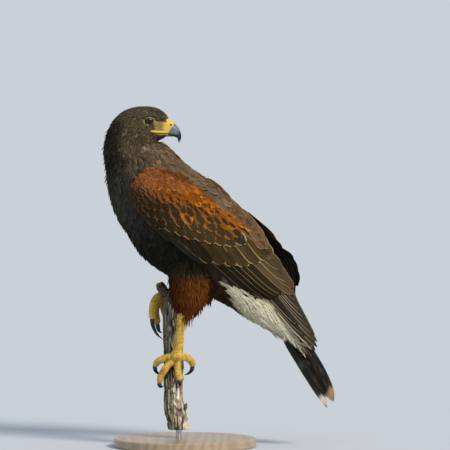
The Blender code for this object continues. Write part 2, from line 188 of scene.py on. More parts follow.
# Each toe's points x, y, z from the foot's pad to the claw's root, then the claw's points to its tip
TOES = {
    "left_inner": (
        [(-14, -19.8, 128), (-23, -18.8, 126.5), (-32, -14.5, 123.5), (-39, -8.5, 119), (-42, -4.5, 113.5)],
        [(-42.3, -3.6, 112), (-41.2, -0.2, 106.5), (-37.6, 3.6, 102.4), (-30.6, 5.2, 100.4)],
    ),
    "left_middle": (
        [(-14, -19.8, 126), (-20.5, -19.6, 119), (-28, -17.5, 110), (-33.8, -13, 99), (-36, -8.5, 90)],
        [(-35.9, -7, 88.5), (-34.8, -2.5, 85), (-32.9, 2, 84), (-30.2, 4.8, 84.8)],
    ),
    "left_outer": (
        [(-11.5, -19.8, 125), (-10.5, -18.8, 116), (-9.3, -18.3, 106), (-8.2, -17.9, 98.5),
         (-7.6, -17.5, 94.5)],
        [(-7.4, -17.2, 93.0), (-6.8, -16.8, 89.6), (-6.3, -14.6, 87.2), (-6.2, -11.5, 86.2)],
    ),
    "left_hind": (
        [(-9, -20.2, 127), (-1, -18.2, 127), (5.5, -13.5, 124), (9.8, -7.5, 118.5), (10.6, -3.8, 113.8)],
        [(10.5, -3.2, 112.2), (8.9, -2.4, 107), (4.8, -1.9, 102.8), (-1.0, -1.6, 100.6)],
    ),
    "right_inner": (
        [(-33.5, 14, 209), (-39, 7, 207.5), (-43.5, 0, 200), (-45.2, -4, 188), (-45.8, -5.5, 179.5)],
        [(-46, -5.7, 178), (-44.4, -6.5, 168.5), (-39, -6.8, 158), (-31.5, -4.6, 150.8)],
    ),
    "right_middle": (
        [(-35, 16, 207), (-41, 13, 200), (-42.5, 9, 189), (-40.5, 6.5, 178), (-39.0, 5.5, 171.5)],
        [(-38.6, 5.4, 170.0), (-37.4, 4.8, 164.5), (-35.4, 4, 161), (-32.0, 3.4, 159.4)],
    ),
    "right_outer": (
        [(-33.5, 18, 205), (-30.5, 20.5, 197), (-27, 19.5, 187), (-23, 18.6, 177), (-21.5, 18.2, 172)],
        [(-21.2, 18.0, 170.4), (-20.2, 17.4, 166), (-19.5, 16, 162.8), (-19.3, 14.5, 161.5)],
    ),
    "right_hind": (
        [(-29, 20, 209), (-20, 23.5, 206), (-7, 21.5, 200), (2.0, 13, 192), (4.2, 7, 186.5)],
        [(4.2, 5.6, 185.2), (3.6, 0.5, 180), (0.6, -3.6, 175.5), (-4.4, -5.9, 172.8)],
    ),
}
TOE_RADII = (4.6, 4.2, 3.8, 3.6, 3.3)
CLAW_RADII = (3.1, 2.6, 1.6, 0.4)

# The head's middle plane
HEAD_Y = -3.0
EYE_RADIUS = 7.5
EYE_PLACE = (-49.8, 17.9, 456.6)
# The head's skin runs on from the body's rows into the bill's base.
FACE = BODY[12:19] + [
    (-37.5, 474, -30, 431.2, 16.4, -3, 2.3, 2.6),
    (-28.2, 466.8, -27.5, 433, 9.9, -3, 2.2, 2.5),
    (-22.8, 461.2, -25.5, 435.0, 7.9, -3, 2.2, 2.4),
    (-20.5, 457.0, -21.5, 435.6, 6.3, -3, 2.2, 2.2),
    (-16.5, 452.5, -17, 436, 4.6, -3, 2.2, 2.2),
]
FACE_PLACES = (0, 2, 4, 6, 8, 9, 10, 11)
FACE_DEPTHS = (3.0, 2.2, 1.8, 1.5, 0.9, 0.4, 0.3, 0.3)
# The outline x, z of the bare face, from the brow round the bill and along the gape
BARE_FACE = [
    (-45.5, 459.4), (-38, 457.6), (-30, 456.0), (-26.8, 457.4), (-25.0, 459.4), (-10, 466), (-6, 425),
    (-24, 436.6), (-34, 436.6),
    (-44, 438.2), (-49.5, 440.4), (-49.6, 444.6), (-46.5, 446.8), (-43.0, 449.5),
]
# Points x, z and the radius there of the mouth's thick yellow corner and of the lower jaw's edge
GAPE_BAR = [
    (-47.6, 442.4, 1.0), (-46.6, 442.3, 1.6), (-42, 441.9, 1.8), (-36, 441.4, 1.5), (-30, 441.1, 1.3),
    (-24, 440.8, 1.0), (-21, 440.6, 0.5),
]
JAW_BAR = [(-44, 438.6, 0.4), (-38, 438.2, 1.0), (-30, 437.8, 1.1), (-24, 437.4, 0.9)]
# Plates down the front of a leg, and over a toe
LEG_PLATES, TOE_PLATES = 19, 12
# Thickness of a contour feather and of a flight feather, side of a feather's patch on the map for baking,
# the offset of its noise for a step of one on that map, and how far along a vane its dark heart lies
CONTOUR_THICKNESS, QUILL_THICKNESS = 0.22, 0.3
PATCH_SIZE, OWN_OFFSET, HEART_MIDDLE = 0.003, 900.0, 0.70
# Where the head's, the neck's and the trunk's contour feathers start along the body table
HEAD_FROM, NECK_FROM, TRUNK_FROM = 14.0, 11.2, 4.2
# How many random places each scatter picks from
BODY_TRIES, BRISTLE_TRIES, THIGH_TRIES, COVERT_TRIES = 120000, 9000, 24000, 30000
# No feather's colour is darker than this
DARKEST = 0.003
# The way the sunlight goes
SUN_WAY = (-0.62, 0.66, -0.62)


# Numbers

def srgb(red, green, blue):
    """A colour given as 0 to 255 on screen, as linear light."""
    share = np.array([red, green, blue]) / 255
    return np.where(share <= 0.04045, share / 12.92, ((share + 0.055) / 1.055) ** 2.4)


# Colours, given as they look on screen

CROWN = srgb(76, 66, 54)
CHEEK = srgb(62, 52, 36)
CHEEK_PALE = srgb(120, 100, 72)
NECK_SIDE = srgb(88, 74, 54)
NAPE = srgb(36, 34, 27)
BREAST = srgb(42, 41, 34)
MANTLE = srgb(96, 78, 58)
MANTLE_EDGE = srgb(138, 106, 74)
DRAPED_EDGE = srgb(158, 146, 128)
SCAPULAR = srgb(86, 67, 45)
BELLY = srgb(26, 26, 18)
VENT = srgb(48, 34, 20)
WHITE = srgb(196, 190, 164)
RUFOUS = srgb(138, 83, 48)
ORANGE = srgb(120, 66, 8)
RUST_DARK = srgb(52, 33, 20)
COVERT_DARK = srgb(40, 35, 22)
COVERT_BROWN = srgb(60, 48, 27)
BUFF = srgb(156, 130, 90)
QUILL_BROWN = srgb(39, 32, 19)
TERTIAL_BROWN = srgb(70, 56, 38)
PRIMARY_DARK = srgb(49, 44, 36)
PRIMARY_EDGE = srgb(168, 152, 122)
ALULA_GREY = srgb(60, 56, 47)
THIGH_RED = srgb(98, 52, 17)
THIGH_PALE = srgb(150, 94, 44)
HORN = srgb(88, 104, 110)
TAIL_DARK = srgb(22, 20, 18)
CERE = srgb(198, 168, 60)
GAPE = srgb(214, 174, 64)
LORES = srgb(126, 110, 54)
LID = srgb(176, 170, 70)
# The eye rim's yellow darkened over its upper half: painted shade from the brow
LID_BROW_SHADE = srgb(108, 110, 60)
LEG_YELLOW = srgb(248, 212, 86)
LEG_OCHRE = srgb(204, 156, 60)
WHITE_STREAK = srgb(40, 33, 26)
TAIL_BAR = srgb(96, 88, 74)
TAIL_TIP_INNER = srgb(188, 180, 160)
TAIL_TIP_OUTER = srgb(150, 126, 96)
IRIS_DARK = srgb(30, 15, 8)
IRIS = srgb(56, 28, 14)
PUPIL = np.array([0.0022, 0.002, 0.002])
MOUTH_LINE = np.array([0.006, 0.005, 0.003])
NOSTRIL = np.array([0.012, 0.009, 0.004])
HORN_TOP = srgb(104, 102, 98)
HORN_TIP_AND_EDGE_SHADE = srgb(20, 21, 23)
JAW_HORN = srgb(34, 36, 38)
CLAW_ROOT = srgb(62, 58, 54)
CLAW_BLACK = srgb(16, 16, 18)
BARK_GREY = srgb(146, 134, 116)
BARK_PALE = srgb(206, 196, 176)
BARK_TAN = srgb(112, 92, 68)
BARK_CRACK = srgb(34, 28, 23)
TWIG_GREY = srgb(92, 80, 66)
TWIG_DARK = srgb(44, 36, 30)
FLAKED = (0.03, 0.024, 0.018)
SKY = srgb(202, 208, 215)


def along_rows(table, places):
    """Rows at fractional places: a Catmull-Rom curve through the table's rows, straight on past its ends."""
    rows = np.array(table, float)
    rows = np.vstack([2 * rows[0] - rows[1], rows, 2 * rows[-1] - rows[-2]])
    places = np.asarray(places, float)
    inside = np.clip(places, 0, len(rows) - 3)
    first = np.clip(np.floor(inside).astype(int), 0, len(rows) - 4)
    t = (inside - first)[..., None]
    a, b, c, d = (rows[first + k] for k in range(4))
    curve = 0.5 * (2 * b + (c - a) * t + (2 * a - 5 * b + 4 * c - d) * t**2 + (3 * b - a - 3 * c + d) * t**3)
    past = (places - inside)[..., None]
    return curve + past * np.where(past < 0, rows[1] - rows[0], rows[-1] - rows[-2])


def unit(vectors):
    """Vectors scaled to length 1."""
    return vectors / np.maximum(np.linalg.norm(vectors, axis=-1, keepdims=True), 1e-9)


def ease(low, high, value):
    """0 below low, 1 above high, and a smooth step between."""
    share = np.clip((np.asarray(value, float) - low) / (high - low), 0, 1)
    return share * share * (3 - 2 * share)


def mix(first, second, share):
    """Two colours, or rows of them, blended by a share."""
    share = np.asarray(share, float)[..., None]
    return first * (1 - share) + second * share


def band(value, low, full_from, full_to, high):
    """0 outside low and high, 1 from full_from to full_to, and a smooth step on either side."""
    return ease(low, full_from, value) * ease(high, full_to, value)


def circle(count):
    """Angles at even steps round a full turn."""
    return np.linspace(0, 2 * math.pi, count, endpoint=False)


def nearest(points, places):
    """Which place is nearest to each point: the least square of the distance, a block of points at a time."""
    half_square = (places**2).sum(-1) / 2
    blocks = np.array_split(points, len(points) // 500 + 1)
    return np.concatenate([np.argmin(half_square - block @ places.T, 1) for block in blocks])


def four(colour, alpha):
    """Rows of three numbers with a fourth one added."""
    alpha = np.broadcast_to(np.asarray(alpha, float), (len(colour),))
    return np.hstack([colour, alpha[:, None]])


def waves(points, size, seed):
    """A smooth random field between about -1 and 1: a sum of sines along fixed random directions."""
    dice = np.random.default_rng(seed)
    field = 0
    for _ in range(7):
        line = unit(dice.normal(size=3)) * dice.uniform(0.6, 1.7) * 2 * math.pi / size
        field = field + np.sin(points @ line + dice.uniform(0, 6.28))
    return field / 4


# Meshes

def new_piece(name, points, faces, materials, smooth=True):
    """points in millimetres; faces as a list of arrays, each with rows of equally many corners."""
    mesh = bpy.data.meshes.new(name)
    mesh.vertices.add(len(points))
    mesh.vertices.foreach_set("co", (np.asarray(points) * MM).astype(np.float32).ravel())
    corners = np.concatenate([part.ravel() for part in faces])
    sizes = np.concatenate([np.full(len(part), part.shape[1]) for part in faces])
    mesh.loops.add(len(corners))
    mesh.loops.foreach_set("vertex_index", corners.astype(np.int32))
    mesh.polygons.add(len(sizes))
    mesh.polygons.foreach_set("loop_start", np.concatenate([[0], np.cumsum(sizes)[:-1]]).astype(np.int32))
    mesh.update(calc_edges=True)
    mesh.polygons.foreach_set("use_smooth", np.full(len(sizes), smooth))
    for material in materials:
        mesh.materials.append(material)
    piece = bpy.data.objects.new(name, mesh)
    bpy.context.scene.collection.objects.link(piece)
    return piece


def paint_points(piece, **colours):
    """Point colours, each four numbers a point."""
    for name, values in colours.items():
        layer = piece.data.color_attributes.new(name, "FLOAT_COLOR", "POINT")
        layer.data.foreach_set("color", values.astype(np.float32).ravel())


def unwrap(piece, name, places):
    """A UV map from one place for each point."""
    mesh = piece.data
    corners = np.empty(len(mesh.loops), np.int32)
    mesh.loops.foreach_get("vertex_index", corners)
    layer = mesh.uv_layers.new(name=name)
    layer.data.foreach_set("uv", places[corners].astype(np.float32).ravel())


def closed_tube(grid):
    """Points and faces of a closed body through a grid of rings: quads between them, a fan over each end.

    The middles of the two ends are the last two points.
    """
    rings, around = grid.shape[:2]
    points = np.concatenate([grid.reshape(-1, 3), [grid[0].mean(0)], [grid[-1].mean(0)]])
    ring = np.arange(rings - 1)[:, None] * around
    k = np.arange(around)
    n = (k + 1) % around
    quads = np.stack([ring + k, ring + n, ring + around + n, ring + around + k], -1).reshape(-1, 4)
    first, last = np.full((2, around), [[rings * around], [rings * around + 1]])
    top = (rings - 1) * around
    fans = np.concatenate([np.stack([n, k, first], -1), np.stack([top + k, top + n, last], -1)])
    a, b, c = (points[quads[:, corner]] for corner in range(3))
    if np.einsum("ij,ij->i", a, np.cross(b, c)).sum() < 0:
        quads, fans = quads[:, ::-1], fans[:, ::-1]
    return points, quads, fans


def tube(line, around, steps, swell=None):
    """Rings square to a smooth line through rows of x, y, z and radius; swell(v, turn, out) scales them.

    Each ring's first direction is the one before it, made square to the line again, so they don't twist.
    """
    v = np.linspace(0, 1, steps)
    rows = along_rows(line, v * (len(line) - 1))
    ahead = unit(np.gradient(rows[:, :3], axis=0))
    turn = circle(around)
    side = unit(np.cross(ahead[0], [0.3, 1.0, 0.2]))
    sides = []
    for step in ahead:
        side = side - step * (side @ step)
        side = side / np.linalg.norm(side)
        sides.append(side)
    sides = np.array(sides)
    others = np.cross(ahead, sides)
    out = np.cos(turn)[None, :, None] * sides[:, None] + np.sin(turn)[None, :, None] * others[:, None]
    reach = rows[:, 3][:, None] * (1 if swell is None else swell(v[:, None], turn[None], out))
    return rows[:, None, :3] + reach[..., None] * out


class Bundle:
    """Closed bodies gathered into one mesh, each with its material slot and its point colours."""

    def __init__(self):
        self.points, self.quads, self.fans, self.tints = [], [], [], []
        self.quad_slots, self.fan_slots = [], []
        self.count = 0

    def add(self, grid, slot=0, tint=(1, 1, 1)):
        """Adds the closed body through a grid of rings."""
        points, quads, fans = closed_tube(grid)
        self.points.append(points)
        self.quads.append(quads + self.count)
        self.fans.append(fans + self.count)
        self.quad_slots.append(np.full(len(quads), slot))
        self.fan_slots.append(np.full(len(fans), slot))
        tint = np.broadcast_to(np.asarray(tint, float), (*grid.shape[:2], 3)).reshape(-1, 3)
        self.tints.append(np.vstack([tint, tint[0], tint[-1]]))
        self.count += len(points)

    def piece(self, name, materials):
        """All bodies added so far as one piece."""
        faces = [np.vstack(self.quads), np.vstack(self.fans)]
        made = new_piece(name, np.vstack(self.points), faces, materials)
        slots = np.concatenate(self.quad_slots + self.fan_slots).astype(np.int32)
        made.data.polygons.foreach_set("material_index", slots)
        paint_points(made, ground=four(np.vstack(self.tints), 1))
        return made


def one_body(name, grid, tint, material):
    """A piece that is one closed body through a grid of rings."""
    bundle = Bundle()
    bundle.add(grid, 0, tint)
    return bundle.piece(name, [material])


# Shader sums, written as sums

def maths(operation, turned=False):
    """A method that joins a socket and the values after it, or before it if turned, in one Math node."""
    def method(self, *others):
        values = [*others, self] if turned else [self, *others]
        return self.graph.node("ShaderNodeMath", {"operation": operation}, values)
    return method


class Socket:
    """An output of a shader node that can be added, multiplied and compared."""

    def __init__(self, graph, output):
        self.graph, self.output = graph, output

    __add__ = __radd__ = maths("ADD")
    __mul__ = __rmul__ = maths("MULTIPLY")
    __sub__ = maths("SUBTRACT")
    __rsub__ = maths("SUBTRACT", True)
    __pow__ = maths("POWER")
    __abs__ = maths("ABSOLUTE")
    least = maths("MINIMUM")

    def step(self, low, high):
        """0 at low, 1 at high, smooth between; low may be the larger."""
        smooth = {"interpolation_type": "SMOOTHSTEP"}
        return self.graph.node("ShaderNodeMapRange", smooth, [self, low, high, 0.0, 1.0], "Result")


class Finish:
    """A material with a Principled shader, and one method that makes any node."""

    def __init__(self, name, roughness, **steady):
        self.material = bpy.data.materials.new(name)
        self.material.use_nodes = True
        self.tree = self.material.node_tree
        self.shader = self.tree.nodes["Principled BSDF"]
        self.shader.inputs["Roughness"].default_value = roughness
        for socket, value in steady.items():
            self.shader.inputs[socket.replace("_", " ")].default_value = value

    def node(self, kind, settings=None, values=(), output=0):
        """One node: its settings, its ramp's stops, and its sockets' values or links in order or by name."""
        made = self.tree.nodes.new(kind)
        for name, value in (settings or {}).items():
            if name == "stops":
                ramp = made.color_ramp.elements
                while len(ramp) < len(value):
                    ramp.new(0.5)
                for stop, (place, colour) in zip(ramp, value):
                    stop.position = place
                    stop.color = (*colour, 1)
            else:
                setattr(made, name, value)
        pairs = values.items() if isinstance(values, dict) else enumerate(values)
        for key, value in pairs:
            if isinstance(value, Socket):
                self.tree.links.new(value.output, made.inputs[key])
            else:
                made.inputs[key].default_value = value
        return Socket(self, made.outputs[output])

    def colour(self, first, second, share):
        """Two colours mixed by a share, each a socket or three numbers."""
        first, second = (part if isinstance(part, Socket) else (*part, 1) for part in (first, second))
        return self.node("ShaderNodeMix", {"data_type": "RGBA"}, {0: share, 6: first, 7: second}, 2)

    def tinted(self, colour, factor):
        """A colour times a number."""
        return self.node("ShaderNodeVectorMath", {"operation": "SCALE"}, {"Vector": colour, "Scale": factor})

    def place(self):
        """The object's own coordinates."""
        return self.node("ShaderNodeTexCoord", output="Object")

    def paint(self, name):
        """A point colour by name."""
        return self.node("ShaderNodeAttribute", {"attribute_name": name}, output="Color")

    def vane(self):
        """The vane's map, how far across it and along it a point is, and an offset of each vane's own."""
        chart = self.node("ShaderNodeUVMap", {"uv_map": "Vane"})
        across, along = (self.node("ShaderNodeSeparateXYZ", {}, [chart], part) for part in "XY")
        own = self.tinted(self.node("ShaderNodeUVMap", {"uv_map": "OFBake"}), OWN_OFFSET)
        return chart, abs(across * 2.0 - 1.0), along, own

    def grained(self, chart, stretch, own, detail):
        """Noise over a map stretched by three factors, with an offset of each vane's own."""
        lie = self.node("ShaderNodeVectorMath", {"operation": "MULTIPLY_ADD"}, [chart, stretch, own])
        return self.node("ShaderNodeTexNoise", {}, {"Vector": lie, "Scale": 1.0, "Detail": detail}, "Fac")

    def noise(self, scale, detail, stretch=(1, 1, 1)):
        """Noise over the object's own coordinates, stretched by three factors."""
        place = self.node("ShaderNodeMapping", {}, {"Vector": self.place(), "Scale": stretch})
        return self.node("ShaderNodeTexNoise", {}, {"Vector": place, "Scale": scale, "Detail": detail}, "Fac")

    def feed(self, socket, value):
        """Links a value to an input of the Principled shader."""
        self.tree.links.new(value.output, self.shader.inputs[socket])

    def shade(self, share):
        """The piece's own point colour times a share, as the base colour."""
        self.feed("Base Color", self.tinted(self.paint("ground"), share))

    def bump(self, height, depth):
        """Relief of a height from 0 to 1, in metres of depth."""
        values = {"Height": height, "Distance": depth, "Strength": 1.0}
        self.feed("Normal", self.node("ShaderNodeBump", {}, values, "Normal"))


def plumage_finish(name, hairs, barbs, relief, side):
    """A feather's ground colour, its dark heart, its fringe, its shaft, its hairs and its barbs.

    The vane's own map runs 0 to 1 across it and 0 to 1 from root to tip. The fourth numbers of the three
    point colours are the vane's length over half its width, the fringe's width and the heart's size; side
    is the share of the fringe that is left at the root.
    """
    f = Finish(name, 0.8, Specular_IOR_Level=0.05)
    chart, across, along, own = f.vane()
    ground, fringe, heart = (f.paint(layer) for layer in ("ground", "fringe", "heart"))
    slim, width, size = (Socket(f, layer.output.node.outputs["Alpha"]) for layer in (ground, fringe, heart))
    streak = f.grained(chart, (hairs, 1.6, 1.0), own, 2.0)
    ragged = f.grained(chart, (2.5, 2.5, 1.0), own, 3.0) - 0.5
    strands = f.node("ShaderNodeMath", {"operation": "SINE"}, [(along - across * 0.3) * barbs + ragged * 9.0])
    narrow = across * (2.4 - size * 1.2)
    from_middle = along - HEART_MIDDLE
    reach = (narrow * narrow + from_middle * from_middle * 5.8) ** 0.5 + ragged * 0.6 + (streak - 0.5) * 0.5
    heart_mask = reach.step(size * 1.06, size * 0.82) * size.step(0.0, 0.12)
    inside = (1.0 - across).least((1.0 - along) * slim)
    edge = width * (along**3 * (1.0 - side) + side)
    fringe_mask = (inside + ragged * 0.10).step(edge, edge * 0.5) * width.step(0.0, 0.02)
    shaft = across.step(0.09, 0.03) * along.step(0.98, 0.8)
    colour = f.colour(f.colour(ground, heart, heart_mask), fringe, fringe_mask)
    f.feed("Base Color", f.tinted(colour, (streak - 0.5) * 0.9 + strands * 0.05 + 1.0 - shaft * 0.25))
    f.bump(streak * 1.2 + strands * 0.2 + shaft * 0.5, relief)
    return f.material


def scale_finish():
    """Yellow scaly skin: plates as relief, darker between them."""
    f = Finish("leg_scales", 0.42, Specular_IOR_Level=0.4, Subsurface_Weight=0.08, Subsurface_Scale=0.002)
    values = {"Vector": f.place(), "Scale": 620.0}
    edges = f.node("ShaderNodeTexVoronoi", {"feature": "DISTANCE_TO_EDGE"}, values, "Distance")
    plates = edges.step(0.0, 0.16)
    patches = f.noise(160.0, 3.0)
    f.shade(plates * 0.34 + patches * 0.4 + 0.52)
    f.feed("Roughness", patches * 0.25 + 0.3)
    f.bump(plates, 0.0006)
    return f.material


def face_finish():
    """Fine bare skin of lores, lids and gape: tiny grains and creases, slightly oily."""
    f = Finish("face_skin", 0.5, Specular_IOR_Level=0.3, Subsurface_Weight=0.1, Subsurface_Scale=0.0015)
    grains = f.noise(1500.0, 3.0)
    creases = f.noise(420.0, 4.0, (1, 1, 2.2))
    f.shade(grains * 0.5 + creases * 0.6 + 0.45)
    f.feed("Roughness", grains * 0.3 + 0.35)
    f.bump(grains * 0.4 + creases, 0.0003)
    return f.material


def skin_finish():
    """The skin under the coat, in the coat's own colours."""
    f = Finish("skin", 0.75, Specular_IOR_Level=0.2)
    down = f.noise(450.0, 4.0)
    f.shade(down * 0.5 + 0.72)
    f.bump(down, 0.0006)
    return f.material


def horn_finish(name, roughness):
    """Smooth horn with fine growth lines, in point colours."""
    f = Finish(name, roughness, Specular_IOR_Level=0.35)
    lines = f.noise(300.0, 4.0, (1, 1, 0.25))
    f.shade(lines * 0.4 + 0.8)
    f.feed("Roughness", lines * 0.2 + roughness - 0.1)
    f.bump(lines, 0.00006)
    return f.material


def eye_finish():
    """Brown iris round a black pupil under a clear wet cornea, in point colours."""
    f = Finish("eye", 0.07, Specular_IOR_Level=0.32)
    f.shade(f.noise(900.0, 3.0) * 0.8 + 0.6)
    return f.material


def bark_finish():
    """Weathered grey wood: pale ridges, dark cracks along the grain, tan where it has flaked."""
    f = Finish("weathered_branch", 0.85, Specular_IOR_Level=0.2)
    fibres = f.noise(300.0, 8.0, (1, 1, 0.07))
    flakes = f.noise(70.0, 4.0, (1, 1, 0.3))
    wood = f.tinted(f.paint("ground"), fibres.step(0.32, 0.64) * 0.9 + 0.42)
    f.feed("Base Color", f.colour(wood, FLAKED, flakes.step(0.58, 0.72) * 0.7))
    f.bump(fibres * 1.4 + flakes * 0.5, 0.0012)
    return f.material


def stand_finishes():
    """Satin oiled hardwood for the base, brushed steel for the rod."""
    wood = Finish("stand_hardwood", 0.38, Coat_Weight=0.25, Coat_Roughness=0.25)
    centre = wood.node("ShaderNodeMapping", {}, {"Vector": wood.place(), "Scale": (1.0, 0.12, 1.0)})
    values = {"Vector": centre, "Scale": 22.0, "Distortion": 9.0, "Detail": 3.0, "Detail Scale": 1.2}
    bands = wood.node("ShaderNodeTexWave", {"wave_type": "BANDS", "bands_direction": "X"}, values, "Fac")
    pores = wood.noise(900.0, 3.0, (1.0, 0.05, 1.0))
    stops = [(0.0, (0.27, 0.19, 0.12)), (0.6, (0.33, 0.24, 0.155)), (1.0, (0.37, 0.275, 0.18))]
    wood.feed("Base Color", wood.node("ShaderNodeValToRGB", {"stops": stops}, [bands * 0.7 + pores * 0.3]))
    wood.bump(pores, 0.00008)
    steel = Finish("stand_steel", 0.3, Metallic=1.0)
    rings = steel.noise(1500.0, 2.0, (0.05, 0.05, 1.0))
    steel.feed("Base Color", steel.colour((0.42, 0.42, 0.43), (0.60, 0.60, 0.61), rings))
    steel.feed("Roughness", rings * 0.2 + 0.22)
    return wood.material, steel.material


def make_stage():
    """Soft daylight, a pale floor that meets a sky of its own tone, and the camera."""
    scene = bpy.context.scene
    scene.view_settings.view_transform = "Standard"
    world = bpy.data.worlds.new("sky")
    world.use_nodes = True
    world.node_tree.nodes["Background"].inputs["Color"].default_value = (*SKY, 1)
    world.node_tree.nodes["Background"].inputs["Strength"].default_value = 1.0
    scene.world = world

    sun = bpy.data.lights.new("sun", "SUN")
    sun.energy = 3.4
    sun.angle = math.radians(18)
    sun.color = (1.0, 0.94, 0.86)
    lamp = bpy.data.objects.new("sun", sun)
    lamp.rotation_euler = Vector(SUN_WAY).to_track_quat("-Z", "Y").to_euler()
    scene.collection.objects.link(lamp)

    ring = circle(96)
    reach, height = 400000.0, -0.2
    rim = np.stack([reach * np.cos(ring), reach * np.sin(ring), np.full(96, height)], 1)
    floor_finish = Finish("floor", 0.9, Specular_IOR_Level=0.0)
    slant = -SUN_WAY[2] / math.sqrt(sum(way**2 for way in SUN_WAY))
    lit = SKY + np.array(sun.color) * sun.energy / math.pi * slant
    floor_finish.shader.inputs["Base Color"].default_value = (*(SKY / lit), 1)
    floor = new_piece("floor", rim, [np.arange(96)[None]], [floor_finish.material], False)

    camera = bpy.data.cameras.new("camera")
    distance, lift, width = 6.0, math.radians(2.0), 0.63
    camera.sensor_width = 36.0
    camera.lens = camera.sensor_width * distance / width
    camera.clip_end = 2000
    eye = bpy.data.objects.new("camera", camera)
    target = Vector((0.056, 0.0, 0.3108))
    eye.location = target + distance * Vector((0, -math.cos(lift), math.sin(lift)))
    eye.rotation_euler = (target - eye.location).to_track_quat("-Z", "Y").to_euler()
    scene.collection.objects.link(eye)
    scene.camera = eye


# Forms

def oval_form(table, t, turn, sink):
    """A point of a rounded oval between its left and right outline points, sunk inwards.

    The oval is a superellipse: the sine and the cosine of the turn, each raised to two over its roundness.
    """
    t, turn = np.broadcast_arrays(np.asarray(t, float), np.asarray(turn, float))
    lx, lz, rx, rz, half_y, mid_y, round_l, round_r = np.moveaxis(along_rows(table, t), -1, 0)
    reach = np.hypot(rx - lx, rz - lz) / 2
    power = 2 / np.where(np.cos(turn) > 0, round_r, round_l)
    cos, sin = np.cos(turn), np.sin(turn)
    along = np.sign(cos) * np.abs(cos) ** power * (1 - sink / reach)
    across = np.sign(sin) * np.abs(sin) ** power * (half_y - sink)
    x = (lx + rx) / 2 + (rx - lx) / 2 * along
    z = (lz + rz) / 2 + (rz - lz) / 2 * along
    return np.stack([x, mid_y + across, z], -1)


def oval_rings(table, rings, around):
    """Rounded ovals at even steps along a table."""
    return oval_form(table, np.linspace(0, len(table) - 1, rings)[:, None], circle(around)[None], 0.0)


def body_form(t, turn):
    """The body's skin, inside the coat by its depth."""
    return oval_form(BODY, t, turn, np.interp(t, COAT_PLACES, COAT_DEPTHS))


def bump_at(x, z, mid_x, mid_z, wide, high):
    """A round hill of height 1 at a middle, with its half widths along x and z."""
    return np.exp(-(((x - mid_x) / wide) ** 2) - ((z - mid_z) / high) ** 2)


def brow_rise(x, z):
    """The ridge over the eye: a soft round bar along a line, fading at both ends."""
    line = np.interp(x, (-64, -56, -46, -36, -27), (459.5, 464.3, 465.0, 463.4, 461.2))
    return 2.0 * np.exp(-(((z - line) / 2.3) ** 2)) * band(x, -66, -56, -30, -22)


def head_form(t, turn):
    """The head's skin with its brow, which its feathers follow."""
    point = body_form(t, turn)
    side = np.sign(point[..., 1] - HEAD_Y)
    point[..., 1] += side * brow_rise(point[..., 0], point[..., 2])
    return point


def face_form(t, turn):
    """The bare head: rounded ovals drawn in onto the bill's base, with brows, sockets and lores.

    The relief is a push outwards, away from the middle plane, that depends on x and z alone.
    """
    point = oval_form(FACE, t, turn, np.interp(t, FACE_PLACES, FACE_DEPTHS))
    x, z = point[..., 0], point[..., 2]
    side = np.sign(point[..., 1] - HEAD_Y)
    width = ease(3, 9, np.abs(point[..., 1] - HEAD_Y))
    bare = ease(-46, -42, x) * band(z, 438, 441, 458.5, 461.5) * ease(-22, -26, x)
    push = brow_rise(x, z) + 0.9 * bare
    push -= 1.3 * bump_at(x, z, -37, 456.5, 6, 4)
    push += 0.25 * waves(point, 2.6, 15) * bare
    push += 0.8 * np.exp(-(((z - 443.5) / 2.4) ** 2)) * band(x, -50, -44, -30, -24)
    eye_x, _, eye_z = EYE_PLACE
    off = np.hypot((x - eye_x) / 8.4, (z - eye_z + 0.4) / 6.9)
    push -= 5.0 * ease(1.0, 0.72, off)
    point[..., 1] += side * push * width
    return point


def thigh_form(side, t, turn, sink=THIGH_COAT):
    """A point of a thigh: level ovals, sunk by the coat, at most to half their width."""
    t, turn = np.broadcast_arrays(np.asarray(t, float), np.asarray(turn, float))
    front, back, height, half_y, mid_y = np.moveaxis(along_rows(THIGHS[side], t), -1, 0)
    half_x = (back - front) / 2
    sink = np.minimum(sink, half_y * 0.45)
    x = (front + back) / 2 + (half_x - sink) * np.cos(turn)
    return np.stack([x, mid_y + (half_y - sink) * np.sin(turn), height], -1)


def far_wing_table():
    """The near wing's table with some of its upper edge raised."""
    table = [list(row) for row in NEAR_WING]
    for index, (x, z, out) in FAR_WING_LIFT.items():
        table[index][2:4] = [x, z]
        table[index][6] = out
    return table


WING_TABLES = {"left": (-1, NEAR_WING), "right": (1, far_wing_table())}


def wing_surface(wing, s, c):
    """The outer face of a folded wing at s along it and c across it.

    It runs straight from the lower edge at c = -1 to the upper edge at c = 1, and its distance from the
    middle plane is the parabola through the table's three.
    """
    side, table = WING_TABLES[wing]
    low_x, low_z, high_x, high_z, low, mid, high = np.moveaxis(along_rows(table, s), -1, 0)
    bow = np.clip(c, -1.25, 1.25)
    out = mid + (high - low) / 2 * c + ((high + low) / 2 - mid) * bow**2
    x = (low_x + high_x) / 2 + (high_x - low_x) / 2 * c
    z = (low_z + high_z) / 2 + (high_z - low_z) / 2 * c
    return np.stack([x, side * out, z], -1)


def on_chart(points):
    """How far along and across the folded wing's chart points lie, seen from the side."""
    offset = points[..., [0, 2]] - WRIST
    return offset @ WING_ALONG, offset @ WING_ACROSS


def chart_ab(place):
    """Where the near wing's places s, c lie on its chart."""
    return np.stack(on_chart(wing_surface("left", place[..., 0], place[..., 1])), -1)


CHART_PLACES = np.stack(
    np.meshgrid(np.arange(-1.5, 15.6, 0.06), np.arange(-1.9, 1.91, 0.06), indexing="ij"), -1
).reshape(-1, 2)
CHART_AB = chart_ab(CHART_PLACES)


